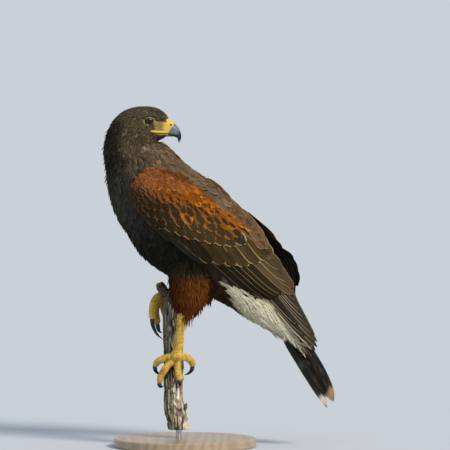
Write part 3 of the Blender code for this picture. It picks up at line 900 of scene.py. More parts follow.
def chart_place(a, b):
    """The place s, c of points a along and b across the chart: its nearest point, then two steps."""
    wanted = np.stack([a.ravel(), b.ravel()], -1)
    place = CHART_PLACES[nearest(wanted, CHART_AB)]
    tiny, longest = 0.02, 0.1
    for _ in range(2):
        here = chart_ab(place)
        ds = (chart_ab(place + [tiny, 0]) - here) / tiny
        dc = (chart_ab(place + [0, tiny]) - here) / tiny
        miss = wanted - here
        det = ds[:, 0] * dc[:, 1] - ds[:, 1] * dc[:, 0]
        det = np.where(np.abs(det) < 1, 1, det)
        step_s = (miss[:, 0] * dc[:, 1] - miss[:, 1] * dc[:, 0]) / det
        step_c = (ds[:, 0] * miss[:, 1] - ds[:, 1] * miss[:, 0]) / det
        place = place + np.clip(np.stack([step_s, step_c], -1), -longest, longest)
    return place[:, 0].reshape(a.shape), place[:, 1].reshape(a.shape)


def on_wing(wing, a, b, out):
    """The point out millimetres off the wing's outer face at chart place a, b, and the face's normal."""
    s, c = chart_place(a, b)
    tiny, inner = 0.05, np.clip(c, -1, 1)
    here = wing_surface(wing, s, inner)
    ahead, over = wing_surface(wing, s + tiny, inner), wing_surface(wing, s, inner + tiny)
    normal = unit(np.cross(ahead - here, over - here))
    normal = normal * np.sign(normal[..., 1:2] * WING_TABLES[wing][0])
    return wing_surface(wing, s, c) + normal * out[..., None], normal


# Vanes

def vane_faces(stations, columns):
    """The corners of one closed vane: a pole at each end, a top grid, and an under grid inside its rim."""
    inner = stations - 2
    top = 1 + np.arange(inner * columns).reshape(inner, columns)
    under = top.copy()
    under[:, 1:-1] = 1 + inner * columns + np.arange(inner * (columns - 2)).reshape(inner, columns - 2)
    tip = under[-1, 1:-1].max() + 1
    quads, fans = [], []
    for grid, turned in ((top, False), (under, True)):
        q = np.stack([grid[:-1, :-1], grid[1:, :-1], grid[1:, 1:], grid[:-1, 1:]], -1).reshape(-1, 4)
        root_fan = np.stack([np.zeros(columns - 1, int), grid[0, :-1], grid[0, 1:]], -1)
        tip_fan = np.stack([grid[-1, :-1], np.full(columns - 1, tip), grid[-1, 1:]], -1)
        t = np.concatenate([root_fan, tip_fan])
        quads.append(q[:, ::-1] if turned else q)
        fans.append(t[:, ::-1] if turned else t)
    return np.concatenate(quads), np.concatenate(fans), tip + 1


def vane_piece(name, top, down, paints, roots, material):
    """Closed vanes as one mesh.

    top is vane, station, column, xyz, with all columns equal at the first and last station; down is what
    is added to reach the under side; paints are colours for each vane; roots are places on the unwrap.
    """
    count, stations, columns = top.shape[:3]
    quads, fans, size = vane_faces(stations, columns)
    under = (top + down)[:, 1:-1, 1:-1].reshape(count, -1, 3)
    points = np.concatenate([top[:, :1, 0], top[:, 1:-1].reshape(count, -1, 3), under, top[:, -1:, 0]], 1)
    starts = np.arange(count)[:, None, None] * size
    faces = [(quads + starts).reshape(-1, 4), (fans + starts).reshape(-1, 3)]
    piece = new_piece(name, points.reshape(-1, 3), faces, [material])
    v, u = np.meshgrid(np.linspace(0, 1, stations), np.linspace(0, 1, columns), indexing="ij")
    grid = np.stack([u, v], -1)[1:-1]
    one = np.concatenate([[[0.5, 0.0]], grid.reshape(-1, 2), grid[:, 1:-1].reshape(-1, 2), [[0.5, 1.0]]])
    patch = (one[None] - 0.5) * PATCH_SIZE + np.clip(roots, 0.002, 0.998)[:, None]
    unwrap(piece, "OFBake", patch.reshape(-1, 2))
    unwrap(piece, "Vane", np.tile(one, (count, 1)))
    paint_points(piece, **{key: np.repeat(value, size, 0) for key, value in paints.items()})
    piece.data.set_sharp_from_angle(angle=math.radians(75))
    return piece


def vane_width(v, blunt=0.5, root=0.0):
    """A vane's width along it: a quarter of an ellipse up to blunt, then a power curve down to the tip."""
    rise = np.sqrt(np.clip(1 - (1 - np.clip(v / blunt, 0, 1)) ** 2, 0, 1))
    fall = np.clip(1 - (np.clip((v - blunt) / (1 - blunt), 0, 1)) ** 2.4, 0, 1) ** 0.62
    return np.where(v < blunt, root * (v > 0) * (v < 1) + (1 - root) * rise, fall)


def scatter(candidates, spacing):
    """Which candidates to keep so that no two are nearer than the spacing of the later one."""
    keys = np.floor(candidates / float(spacing.max())).astype(int)
    steps = list(itertools.product((-1, 0, 1), repeat=3))
    grid, kept = {}, []
    for index, (point, key, gap) in enumerate(zip(candidates.tolist(), keys.tolist(), spacing.tolist())):
        x, y, z = point
        near = (grid.get((key[0] + dx, key[1] + dy, key[2] + dz), ()) for dx, dy, dz in steps)
        if any((x - p) ** 2 + (y - q) ** 2 + (z - r) ** 2 < gap * gap for cell in near for p, q, r in cell):
            continue
        grid.setdefault(tuple(key), []).append(point)
        kept.append(index)
    return np.array(kept)


def sample(form, first, last, gap, count):
    """Random places t, turn on a form between two rows, as many to a square of the local gap everywhere."""
    rows, turns = np.linspace(first, last, 260), np.linspace(0, 2 * math.pi, 361)
    tt, rr = np.meshgrid(rows, turns, indexing="ij")
    grid = form(tt, rr)
    area = np.linalg.norm(np.cross(grid[1:, 1:] - grid[:-1, :-1], grid[1:, :-1] - grid[:-1, 1:]), axis=-1)
    share = (area / gap(tt[:-1, :-1], rr[:-1, :-1]) ** 2).ravel()
    cell = RANDOM.choice(share.size, count, p=share / share.sum())
    row, column = np.divmod(cell, len(turns) - 1)
    t = rows[row] + RANDOM.uniform(0, rows[1] - rows[0], count)
    return t, turns[column] + RANDOM.uniform(0, turns[1], count)


def contour_vanes(form, places, sizes, flow, shape, spread=0.12, blunt=0.5, hollow=0.05):
    """Vanes that lie on a form: rooted in the skin, bent with it, their tips lifted a little.

    form(t, turn) gives the skin; places are t and turn, sizes length, width and lift of each vane; flow is
    -1 or 1, the way along t that the vanes point; shape is stations and columns. The bend along a vane is
    the form's own, from its normals one step further on, at most hollow where the form is hollow.
    """
    tiny = 0.02
    t, turn = places
    length, width, lift = (size[:, None, None] for size in sizes)
    here = form(t, turn)
    up = unit(np.cross(unit(form(t + flow * tiny, turn) - here), unit(form(t, turn + tiny) - here)))
    up = up * np.sign(((here - form(t, turn + math.pi)) * up).sum(-1, keepdims=True))
    ahead = unit(form(t + flow * tiny, turn) - here)
    angle = RANDOM.normal(0, spread, len(t))[:, None]
    ahead = unit(ahead * np.cos(angle) + np.cross(up, ahead) * np.sin(angle))
    side = np.cross(up, ahead)

    stride = np.linalg.norm(form(t + flow * 0.25, turn) - here, axis=-1)
    reach = np.clip(0.15 * sizes[0] / np.maximum(stride, 0.5), 0.1, 0.8)
    reach = np.minimum(reach, 0.25 if flow > 0 else np.maximum(t - 0.05, 0.05))
    further = t + flow * reach
    moved = form(further, turn)
    normal = unit(np.cross(form(further + flow * tiny, turn) - moved, form(further, turn + tiny) - moved))
    normal = normal * np.sign((normal * up).sum(-1, keepdims=True))
    step = np.maximum(np.linalg.norm(moved - here, axis=-1), 1.0)
    bend = np.clip(((normal - up) * ahead).sum(-1) / step, -hollow, 0.07)[:, None, None]
    v = np.linspace(0, 1, shape[0])[None, :, None]
    u = np.linspace(-1, 1, shape[1])[None, None, :]
    wide = vane_width(v, blunt)
    run = length * v
    rise = lift * v**1.3 - (0.3 + 0.03 * length) * (1 - v) ** 2 - bend * run**2 / 2
    rise = rise - 0.16 * width * (u * wide) ** 2
    here, ahead, side, up = (line[:, None, None] for line in (here, ahead, side, up))
    top = here + ahead * run[..., None] + side * (width / 2 * wide * u)[..., None] + up * rise[..., None]
    return top, -up * np.full((1, *shape, 1), CONTOUR_THICKNESS)


# Pieces

def remeshed(rough):
    """Points and triangles of a rough piece made into one smooth closed surface; the piece itself goes."""
    remesh = rough.modifiers.new("one_skin", "REMESH")
    remesh.mode = "VOXEL"
    remesh.voxel_size = 2.6 * MM
    relax = rough.modifiers.new("relax", "SMOOTH")
    relax.factor = 0.5
    relax.iterations = 6
    whole = rough.evaluated_get(bpy.context.evaluated_depsgraph_get())
    mesh = whole.to_mesh()
    points = np.empty(len(mesh.vertices) * 3, np.float32)
    mesh.vertices.foreach_get("co", points)
    mesh.calc_loop_triangles()
    faces = np.empty(len(mesh.loop_triangles) * 3, np.int32)
    mesh.loop_triangles.foreach_get("vertices", faces)
    whole.to_mesh_clear()
    bpy.data.objects.remove(rough)
    return points.reshape(-1, 3) / MM, faces.reshape(-1, 3)


def body_colour(points, t, turn):
    """Ground colour of the body's coat at points of the body form, and how white and how dorsal it is."""
    back = np.cos(turn)
    dorsal = ease(-0.05, 0.45, back) * ease(13.6, 12.4, t)
    # Painted sheen: the breast's colour raised up to 1.6 times over the upper breast
    high = band(t, 8.5, 10.0, 11.6, 12.6)
    colour = mix(BREAST * (1 + 0.6 * high[..., None]), MANTLE, dorsal)
    mottle = waves(points, 13, 5)
    neck = band(t, 11.0, 12.6, 13.8, 15.0) * ease(-0.55, -0.05, back)
    colour = mix(colour, mix(CHEEK, NECK_SIDE, 0.55 + 0.5 * mottle), neck)
    colour = mix(colour, mix(CHEEK, CHEEK * 1.5, 0.5 + 0.5 * mottle), ease(13.8, 15.0, t))
    throat = ease(0.1, 0.6, back) * band(t, 10.8, 12.2, 13.8, 14.8)
    colour = mix(colour, MANTLE * (0.96 + 0.2 * mottle[..., None]), throat)
    colour = mix(colour, NAPE, band(t, 11.5, 12.8, 15.2, 16.4) * ease(-0.3, -0.6, back))
    colour = mix(colour, CROWN, ease(15.4, 16.6, t) * ease(0.0, -0.35, back))
    edge = 3.0 + 2.2 * (back + 1) + 0.25 * waves(points, 16, 9)
    white = ease(0.25, -0.25, t - edge) * ease(0.6, 0.2, back)
    belly = ease(9.0, 7.0, t) * ease(0.2, -0.2, back)
    colour = mix(colour, BELLY, belly)
    colour = mix(colour, VENT, ease(6.2, 5.2, t) * ease(0.5, 0.0, back))
    speckle = 0.20 * waves(points * [1, 1, 0.7], 6.5, 44) * ease(11.0, 13.0, t)
    colour = mix(colour * np.exp(speckle)[..., None], WHITE, white)
    return colour, white, dorsal


def skin_colour(points):
    """Colours of the skin under the coat: the coat's own, painted shade at the groin, rufous thighs and
    shoulder patch.
    """
    grids = np.meshgrid(np.linspace(0, len(BODY) - 1, 190), circle(72), indexing="ij")
    tt, rr = np.reshape(grids, (2, -1))
    found = nearest(points, body_form(tt, rr))
    x, y, z = points.T
    out = np.abs(y)
    on_thigh = np.zeros(len(points))
    for side, (sign, inner) in {"left": (-1, 22), "right": (1, 26)}.items():
        inside = ease(0, 8, sign * y - inner) * ease(246, 236, z) * ease(4, -4, x - THIGH_BACK[side])
        on_thigh = np.maximum(on_thigh, inside)
    # Painted shade where the thighs meet the belly: the skin there darkened towards the belly's black
    groin_painted_shade = ease(14, 22, out) * band(z, 236, 246, 274, 284) * band(x, -44, -34, 48, 60)
    colour = mix(body_colour(points, tt[found], rr[found])[0], BELLY * 0.7, groin_painted_shade)
    colour = mix(colour, RUFOUS * 0.4, on_thigh)
    a, b = on_chart(points)
    on_arm = ease(24, 32, out) * band(a, -6, 2, 290, 300) * ease(-24, -18, b) * (1 - on_thigh)
    patch = ease(-4, 4, b - np.interp(a, *PATCH_LOW)) * ease(170, 160, a)
    above_patch = ease(-3, 1, b - np.interp(a, *PATCH_TOP))
    return mix(colour, mix(mix(COVERT_DARK, ORANGE * 0.45, patch), MANTLE * 0.6, above_patch), on_arm)


def make_skin(*materials):
    """One skin: trunk, neck and head, thighs and wing arms in one smooth remeshed form, and scaly legs.

    The forms are lofts through rounded ovals; the wing's arm is a flat lens under the coverts.
    """
    bundle = Bundle()
    turn = circle(96)[None]
    bundle.add(body_form(np.linspace(0, 12.6, 104)[:, None], turn))
    for side, table in THIGHS.items():
        bundle.add(thigh_form(side, np.linspace(0, len(table) - 1.3, 50)[:, None], turn))
    for wing, (side, _) in WING_TABLES.items():
        s = np.linspace(0.5, 10.2, 70)[:, None]
        taper = np.interp(s, [0.5, 2, 8, 10.2], [0.5, 1.0, 0.9, 0.25])
        outer = wing_surface(wing, s, np.cos(turn) * 0.84 * taper)
        top = np.interp(s, [0.5, 5, 7, 10.2], [3.0, 3.6, 6.8, 8.5])
        outer[..., 1] -= side * (top + 7.0 * taper * np.clip(-np.sin(turn), 0, 1))
        bundle.add(outer)
    points, faces = remeshed(bundle.piece("skin_rough", materials[:1]))

    legs = Bundle()
    for line in TARSI.values():
        grid = tube(line, 36, 130, leg_swell)
        legs.add(grid, 1, leg_tint(grid, LEG_PLATES))
    for name, (toe, _) in TOES.items():
        stout = 1.22 if name.startswith("right") else 1.0
        line = [(*point, radius * stout) for point, radius in zip(toe, TOE_RADII)]
        grid = tube(line, 24, 64, toe_swell)
        legs.add(grid, 1, leg_tint(grid, TOE_PLATES))
    face = face_form(np.linspace(0.2, len(FACE) - 1, 200)[:, None], circle(150)[None])
    legs.add(face, 2, face_tint(face))
    for side in (-1, 1):
        add_lids_and_gape(legs, face, side)
    leg_faces = [np.vstack(part) + len(points) for part in (legs.fans, legs.quads)]
    skin = new_piece("skin", np.vstack([points, *legs.points]), [faces, *leg_faces], materials)
    slots = np.concatenate([np.zeros(len(faces)), *legs.fan_slots, *legs.quad_slots]).astype(np.int32)
    skin.data.polygons.foreach_set("material_index", slots)
    paint_points(skin, ground=four(np.vstack([skin_colour(points), *legs.tints]), 1))
    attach(skin, BODY_NAME)
    nodes = ["head", "neck", "trunk", "wing_left", "wing_right", "thigh_left", "thigh_right"]
    nodes += ["tarsus_left", "tarsus_right"]
    nodes += [name.replace("_", "_toe_") for name in TOES]
    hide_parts(*nodes)
    return skin


def leg_swell(v, turn, out):
    """Broad plates down the front of the leg: a saw-tooth along it, faded out towards the back."""
    front = np.clip(-out[..., 0], 0, 1) ** 0.5
    tooth = (v * LEG_PLATES) % 1.0
    return 1.20 + 0.07 * front * (1 - tooth) ** 0.6 + 0.03 * np.sin(turn * 9 + 40 * v) * (1 - front)


def toe_swell(v, turn, out):
    """Plates over the toe and three pads below it; the toe narrows towards its end."""
    tooth = (v * TOE_PLATES) % 1.0
    pads = np.sin(math.pi * v * 3) ** 2
    plump = 1.24 + 0.07 * (1 - tooth) ** 0.7 + 0.12 * pads * np.clip(-out[..., 2] + 0.4, 0, 1) + 0 * turn
    return plump * (1 - 0.35 * ease(0.86, 1.0, v) ** 2)


def leg_tint(grid, plates):
    """Ochre yellow, duller in patches, browner in other patches and in the creases between the plates."""
    patches = 0.5 + 0.5 * waves(grid, 9, 31)
    grime = ease(0.25, 0.9, waves(grid, 5, 32)) * 0.35
    creases = ease(0.65, 1.0, (np.linspace(0, 1, len(grid))[:, None] * plates) % 1.0) * 0.5
    return mix(mix(LEG_YELLOW, LEG_OCHRE, patches), LEG_OCHRE * 0.55, np.maximum(grime, creases))


def face_tint(grid):
    """Colours of the head's skin by x and z: olive lores, painted shadow under the brow, yellow by the bill.
    """
    x, z = grid[..., 0], grid[..., 2]
    bare = within(BARE_FACE, x, z)
    lores = mix(LORES, CERE, ease(-34, -25, x) * 0.85 + ease(-26, -23, x) * 0.15)
    spots = ease(0.1, 0.8, waves(grid * [1, 1, 2.0], 4.2, 21)) * ease(-28, -36, x)
    lores = mix(lores, LORES * 0.35, spots * 0.55)
    # Painted shadow under the brow: the lores darkened to a dark brown below the brow's line
    brow_shadow_painted = ease(455.2, 457.8, z + 0.2 * (x + 38)) * ease(-24.5, -27, x)
    lores = mix(lores, CHEEK * 0.5, brow_shadow_painted * 0.95)
    lores = mix(lores, CHEEK * 0.6, ease(-40, -44, x) * ease(452, 446, z) * 0.8)
    dark = mix(CHEEK * 0.7, CROWN * 0.7, ease(462, 468, z))
    mouth_line = band(z, 438.6, 439.4, 440.2, 441.2) * bare
    return mix(np.where(bare[..., None], lores, dark), MOUTH_LINE, mouth_line)


def within(outline, x, z):
    """Whether points are inside a closed outline, by counting the sides a level line from each crosses."""
    inside = np.zeros(np.shape(x), bool)
    for (ax, az), (bx, bz) in zip(outline, outline[1:] + outline[:1]):
        crosses = (az > z) != (bz > z)
        inside ^= crosses & (x < (bx - ax) * (z - az) / (bz - az + 1e-12) + ax)
    return inside


def add_lids_and_gape(bundle, face, side):
    """A rim of skin round the eye, riding on the ball, and the thick yellow corner of the mouth.

    The rim is an oval, flatter above; the gape is a bar that thins forwards along the jaw.
    """
    flank = face.reshape(-1, 3)
    flank = flank[(flank[:, 1] - HEAD_Y) * side > 2]
    eye_x, eye_out, eye_z = EYE_PLACE
    turn = np.linspace(0, 2 * math.pi, 73)
    dx = 7.3 * np.cos(turn)
    dz = np.where(np.sin(turn) > 0, 4.5, 5.7) * np.sign(np.sin(turn)) * np.abs(np.sin(turn)) ** 0.9
    out = eye_out + np.sqrt(np.maximum(EYE_RADIUS**2 - dx**2 - dz**2, 0)) + 0.15
    rim = np.stack([eye_x + dx, HEAD_Y + side * np.maximum(out, 21.6), eye_z + dz], -1)
    thick = 0.75 + 0.25 * np.clip(np.sin(turn), 0, 1)
    outward = unit(rim - [eye_x, HEAD_Y + side * (eye_out + 3), eye_z])
    square = np.cross(unit(np.gradient(rim, axis=0)), outward)
    ring = circle(14)[None, :, None]
    out = np.cos(ring) * outward[:, None] + np.sin(ring) * square[:, None]
    grid = rim[:, None] + thick[:, None, None] * out
    # The rim's upper half takes the darker colour: painted shade from the brow
    bundle.add(grid, 2, mix(LID, LID_BROW_SHADE, ease(0.0, 0.5, np.sin(turn))[:, None] + 0 * ring[..., 0]))
    for bar, around, steps, tint in ((GAPE_BAR, 16, 60, GAPE), (JAW_BAR, 12, 40, LORES)):
        bar = np.array(bar)
        under = flank[nearest(bar[:, :2], flank[:, [0, 2]]), 1]
        line = np.insert(bar, 1, HEAD_Y + side * (np.abs(under - HEAD_Y) - 0.5), 1)
        bundle.add(tube(line, around, steps), 2, tint)


def make_body_feathers(material):
    """Contour feathers over the trunk, neck and head, by region, each a scatter on the body form."""
    last = len(BODY) - 1

    def gap(t, turn):
        dorsal = ease(0.05, 0.4, np.cos(turn)) * ease(12.0, 10.0, t)
        return np.interp(t, FEATHER_ROWS, FEATHER_GAPS) * (1 + 0.35 * dorsal)

    t, turn = sample(body_form, 0.2, last - 0.5, gap, BODY_TRIES)
    here = body_form(t, turn)
    x, y, z = here.T
    a, b = on_chart(here)
    low = np.interp(a, (0, 60, 140, 180, 205, 235, 280), (-5, -17, -16, -12, -4, 0, 4))
    hidden = np.interp(t, (2.2, 2.8, 4.5, 5.5), (90, 30, 30, 14))
    high = np.where(np.abs(y) > 26, 69, 58 - 0.10 * a)
    under_wing = (np.abs(y) > hidden) & (a > 8) & (a < 280) & (b > low) & (b < high)
    eye_x, _, eye_z = EYE_PLACE
    ringed = (np.hypot((x - eye_x) / 7.7, (z - eye_z + 0.7) / 6.1) < 1) & (np.abs(y - HEAD_Y) > 8)
    keep = np.flatnonzero(~under_wing & ~ringed & ~(within(BARE_FACE, x, z) & (t > 16)))
    chosen = keep[scatter(here[keep], gap(t, turn)[keep])]
    t, turn, here = t[chosen], turn[chosen], here[chosen]
    x, y, z = here.T
    spacing, back, n = gap(t, turn), np.cos(turn), len(t)
    colour, white, dorsal = body_colour(here, t, turn)

    def uneven(low, high):
        return RANDOM.uniform(low, high, n)

    length = np.interp(t, [0, 1, 2, 4, 9, 12, 15, 21], [10.5, 9.5, 7.0, 4.8, 4.0, 4.2, 4.6, 4.0])
    length = spacing * length * uneven(0.8, 1.2)
    length = length * (1 - 0.35 * ease(0.4, 0.8, back) * band(t, 12.0, 13.0, 16.5, 17.5))
    width = spacing * np.interp(t, [0, 4, 9, 12, 15, 21], [1.1, 1.7, 1.9, 1.45, 1.25, 1.2])
    depth = np.interp(t, COAT_PLACES, COAT_DEPTHS)
    lift = depth * np.interp(t, [0, 4, 6, 9, 12, 14, 21], [0.45, 0.5, 0.75, 0.8, 0.7, 0.6, 0.6])
    lift = lift * (1 + 0.6 * ease(-0.3, -0.7, back) * band(t, 11.0, 12.5, 15.0, 16.5))
    lift = (lift + depth * 0.3 * dorsal) * uneven(0.8, 1.2) + 0.1
    ruffled = (uneven(0, 1) < 0.06) * ease(-0.35, -0.6, back) * band(t, 11.5, 12.5, 15.2, 16.2)
    brow = uneven(0, 1) * ease(18.0, 19.0, t) * ease(457, 461, z)
    lift = lift * (1 + 1.2 * ruffled + 1.8 * brow) * (1 - 0.35 * white) * (1 - 0.3 * dorsal)
    length = length * (1 + 0.2 * ruffled + 0.3 * white)
    width = width * (1 + 0.9 * ruffled - 0.35 * white)
    jitter = (0.15 + 0.20 * ease(9.5, 13, t) * (1 - dorsal) + 0.06 * dorsal) * (1 - 0.75 * white)
    colour = np.clip(colour * np.exp(jitter[:, None] * RANDOM.normal(0, 1, (n, 1))), DARKEST, 1)
    pale = ease(-0.5, 0.0, back) * band(t, 11.5, 13.0, 15.5, 17.5)
    fringe = mix(colour * 1.45, CHEEK_PALE, pale * np.clip(0.4 + 0.6 * RANDOM.normal(0, 1, n), 0, 1))
    fringe = mix(fringe, MANTLE_EDGE, dorsal * 0.6)
    draped = bump_at(x, z, -74, 395, 24, 15) + bump_at(x, z + 0.24 * (x + 24), -24, 395, 17, 6)
    fringe = mix(mix(fringe, DRAPED_EDGE, draped * uneven(0.2, 1.2)), WHITE, white)
    streak = (uneven(0, 1) < 0.035) & (white > 0.5)
    heart = mix(colour * 0.75, np.where(streak[:, None], WHITE_STREAK, WHITE * 0.9), white)
    heart_size = np.where(white > 0.5, np.where(streak, 0.45, 0.0), 0.5)
    paints = painted(colour, np.clip(fringe, 0, 1), 0.17 + 0.15 * pale, heart, heart_size, 2 * length / width)
    places = np.stack([turn / (2 * math.pi), t / last], -1)
    regions = {
        "head_feathers": t >= HEAD_FROM,
        "neck_feathers": (t >= NECK_FROM) & (t < HEAD_FROM),
        "breast_feathers": (t >= TRUNK_FROM) & (t < NECK_FROM) & (back < 0.1),
        "mantle_feathers": (t >= TRUNK_FROM) & (t < NECK_FROM) & (back >= 0.1),
        "under_tail_coverts": t < TRUNK_FROM,
    }
    pieces = []
    for name, here_mask in regions.items():
        pick = np.flatnonzero(here_mask)
        fine = name in ("head_feathers", "neck_feathers")
        form = head_form if name == "head_feathers" else body_form
        top, down = contour_vanes(form, (t[pick], turn[pick]), (length[pick], width[pick], lift[pick]), -1,
                                  (6, 3) if fine else (8, 5), hollow=0.12 if fine else 0.05)
        chosen_paints = {key: value[pick] for key, value in paints.items()}
        pieces.append(vane_piece(name, top, down, chosen_paints, places[pick], material))
    return pieces


def make_bristles(material):
    """Short dark bristles over the lores, a sparse scatter on the face's own form."""
    spacing = 1.25
    t, turn = sample(face_form, 5.0, 9.4, lambda tt, rr: spacing + 0 * tt, BRISTLE_TRIES)
    here = face_form(t, turn)
    x, z = here[:, 0], here[:, 2]
    keep = within(BARE_FACE, x, z) & (x < -29 - RANDOM.uniform(0, 7, len(x))) & (z > 444.5)
    keep &= np.abs(here[:, 1] - HEAD_Y) > 5
    t, turn, here = t[keep], turn[keep], here[keep]
    chosen = scatter(here, np.full(len(here), spacing))
    t, turn = t[chosen], turn[chosen]
    n = len(t)
    length, width = RANDOM.uniform(2.6, 4.2, n), RANDOM.uniform(0.28, 0.42, n)
    dark = shades(n, CHEEK * 0.3, 0.2)
    paints = painted(dark, dark * 1.5, 0.1, dark, 0.0, 2 * length / width)
    places = np.stack([turn / (2 * math.pi), t / (len(FACE) - 1)], -1)
    top, down = contour_vanes(face_form, (t, turn), (length, width, np.full(n, 0.9)), -1, (5, 3), 0.3, 0.2)
    return vane_piece("lore_bristles", top, down, paints, places, material)


def thigh_feathers(side, material):
    """Rufous trousers: long narrow vanes scattered down a thigh's form, finest at the hem."""
    last = len(THIGHS[side]) - 1
    low = last - THIGH_HEM[side]

    def form(t, turn):
        return thigh_form(side, t, turn)

    def gap(t, turn):
        return np.interp(t, [0, last], [2.6, 1.6])

    t, turn = sample(form, THIGH_TOP[side], low, gap, THIGH_TRIES)
    keep = t < low - 0.9 * np.clip(np.cos(turn), 0, 1) ** 2
    t, turn = t[keep], turn[keep]
    chosen = scatter(form(t, turn), gap(t, turn))
    t, turn = t[chosen], turn[chosen]
    here, n = form(t, turn), len(t)
    length = np.interp(t, [0, last], [24, 17]) * RANDOM.uniform(0.75, 1.25, n)
    width = gap(t, turn) * 0.8
    lift = THIGH_COAT * 0.7 * RANDOM.uniform(0.75, 1.15, n)
    # Painted shade: the rufous darkened towards the thigh's front
    red = mix(THIGH_RED, THIGH_RED * [0.45, 0.42, 0.5], ease(0.35, -0.8, np.cos(turn)))
    red = mix(red, BELLY, ease(242, 258, here[:, 2]))
    red = red * (1 + 0.25 * waves(here, 14, 12)[:, None])
    colour = np.clip(red * np.exp(0.12 * RANDOM.normal(0, 1, (n, 1))), DARKEST, 1)
    fringe = mix(colour, THIGH_PALE, RANDOM.uniform(0, 0.5, n) ** 2)
    paints = painted(colour, fringe, 0.3, colour * 0.8, 0.3)
    top, down = contour_vanes(form, (t, turn), (length, width, lift), 1, (8, 3), 0.16, 0.35)
    places = np.stack([turn / (2 * math.pi), t / last], -1)
    return vane_piece(f"thigh_feathers_{side}", top, down, paints, places, material)


# Tips of the wing's rows on its chart, along and across
PRIMARY_TIPS = [
    (300, 6), (318, 0.5), (332, -4.5), (341, -6), (340, 0), (335, 6), (326, 11.5), (314, 16.5), (302, 21.5),
    (290, 26.5), (278, 32),
]
GREATER_TIPS = [
    (150, -1), (161, 6), (171, 13), (182, 19), (191, 27), (197, 36), (204, 45), (210, 54),
]
MEDIAN_TIPS = [
    (68, -9), (81, -4), (97, 1), (112, 8), (125, 15), (138, 22), (151, 29), (161, 37), (168, 46),
    (171, 57),
]
# Tip along, across; length; width; heading of each feather
SECONDARIES = np.column_stack([
    [(232, 1), (240, 5), (247, 9), (250, 15), (252, 21), (254, 27), (261, 32), (268, 35)],
    np.full((8, 2), (130, 18)), np.linspace(-1, -5, 8),
])
TERTIALS = [(268, 36, 92, 17, -3), (262, 43, 92, 17, -5), (250, 46, 86, 19, -5), (232, 52, 76, 18, -6),
            (212, 56, 70, 19, -6), (199, 63, 62, 17, -5)]
ALULA = [(78, -13, 40, 8, -9), (98, -15, 46, 8, -7), (118, -16, 56, 8, -5), (141, -15, 74, 9, -3)]
MARGINAL = [(14, -6, 18, 8, -12), (26, -9, 20, 8, -13), (38, -12, 22, 9, -12), (50, -14, 24, 9, -10),
            (62, -15, 26, 10, -8), (74, -15.5, 28, 10, -7), (86, -15.5, 30, 10, -5)]
PRIMARY_COVERTS = [(70, -10, 40, 13, -10), (82, -9, 46, 14, -9), (94, -8, 50, 15, -9), (107, -6, 52, 15, -9),
                   (121, -5, 56, 16, -9), (134, -6, 60, 17, -8), (150, -1, 66, 20, -8)]
# The rufous patch ends under the scapulars; dark hearts end where the patch turns plain
PATCH_TOP = ((-10, -6, 4, 25, 41, 65, 89, 112, 139, 159, 175), (20, 30, 44, 55, 60, 65, 65, 63, 66, 67, 60))
HEARTS_TOP = ((0, 10, 20, 35, 53, 71, 88, 104, 123, 140, 160), (21, 23, 25, 27, 33, 44, 52, 57, 60, 62, 61))
PATCH_LOW = ((-10, -4, 4, 20, 40, 60, 80, 100, 140, 175), (14, 5, -3, -10, -14, -14, -8, 2, 22, 60))
# Rows of scapulars: the reach along the chart of their tips, and where along and across they run
SCAPULAR_ROWS = [(52, 204, 0), (98, 150, 4)]
SCAPULAR_LINE = ((40, 70, 90, 112, 133, 145, 158, 180, 204), (70, 72.5, 71.5, 69.5, 69, 68, 69.5, 66.5, 58))


def spread_tips(tips, gap):
    """Tips at even distances along the smooth curve through a row's tips."""
    fine = along_rows(tips, np.linspace(0, len(tips) - 1, 400))
    run = np.concatenate([[0], np.cumsum(np.linalg.norm(np.diff(fine, axis=0), axis=1))])
    places = np.arange(0, run[-1] + 1e-6, gap)
    return np.stack([np.interp(places, run, fine[:, 0]), np.interp(places, run, fine[:, 1])], -1)


def wing_row(wing, name, tips, size, out, paints, material, blunt=0.6, tilt=0.5, columns=7, stations=14):
    """Feathers on a wing's chart.

    size holds length, width and heading. Each vane runs back from its tip along its heading; out is the
    height off the wing at root and tip, and tilt tucks its upper edge under the next vane's lower edge.
    """
    count = len(tips)
    length, width, heading = (np.broadcast_to(part, (count,)).astype(float)[:, None, None] for part in size)
    v = np.linspace(0, 1, stations)[None, :, None]
    u = np.linspace(-1, 1, columns)[None, None, :]
    heading = np.radians(heading)
    back = (1 - v) * length
    half = width / 2 * vane_width(v, blunt, 0.25) * u
    a = tips[:, 0][:, None, None] - np.cos(heading) * back - np.sin(heading) * half
    b = tips[:, 1][:, None, None] - np.sin(heading) * back + np.cos(heading) * half
    height = out[0] + (out[1] - out[0]) * v - tilt * u * np.minimum(v * 3, 1)
    height = height - 0.03 * width * u**2 * np.minimum(v * 2, 1) + RANDOM.normal(0, 0.12, (count, 1, 1)) * v
    point, normal = on_wing(wing, a, b, height)
    if wing == "right":
        point, normal = point[:, :, ::-1], normal[:, :, ::-1]
    for pole in (0, -1):
        point[:, pole] = point[:, pole].mean(1, keepdims=True)
    places = np.stack([0.1 + (tips[:, 0] + 20) / 460, 0.25 + (tips[:, 1] + 45) / 300], -1)
    paints["ground"][:, 3] = (2 * length / width).ravel()
    return vane_piece(f"{name}_{wing}", point, -normal * QUILL_THICKNESS, paints, places, material)


def shades(count, colour, spread):
    """One colour for each of count feathers, each a little lighter or darker."""
    return np.clip(np.asarray(colour) * (1 + spread * RANDOM.normal(0, 1, (count, 1))), DARKEST, 1)


def painted(ground, fringe, fringe_width, heart, heart_size, slim=4.0):
    """The three point colours of a row of feathers, with the numbers that the finish reads beside them."""
    layers = {"ground": (ground, slim), "fringe": (fringe, fringe_width), "heart": (heart, heart_size)}
    return {name: four(*layer) for name, layer in layers.items()}


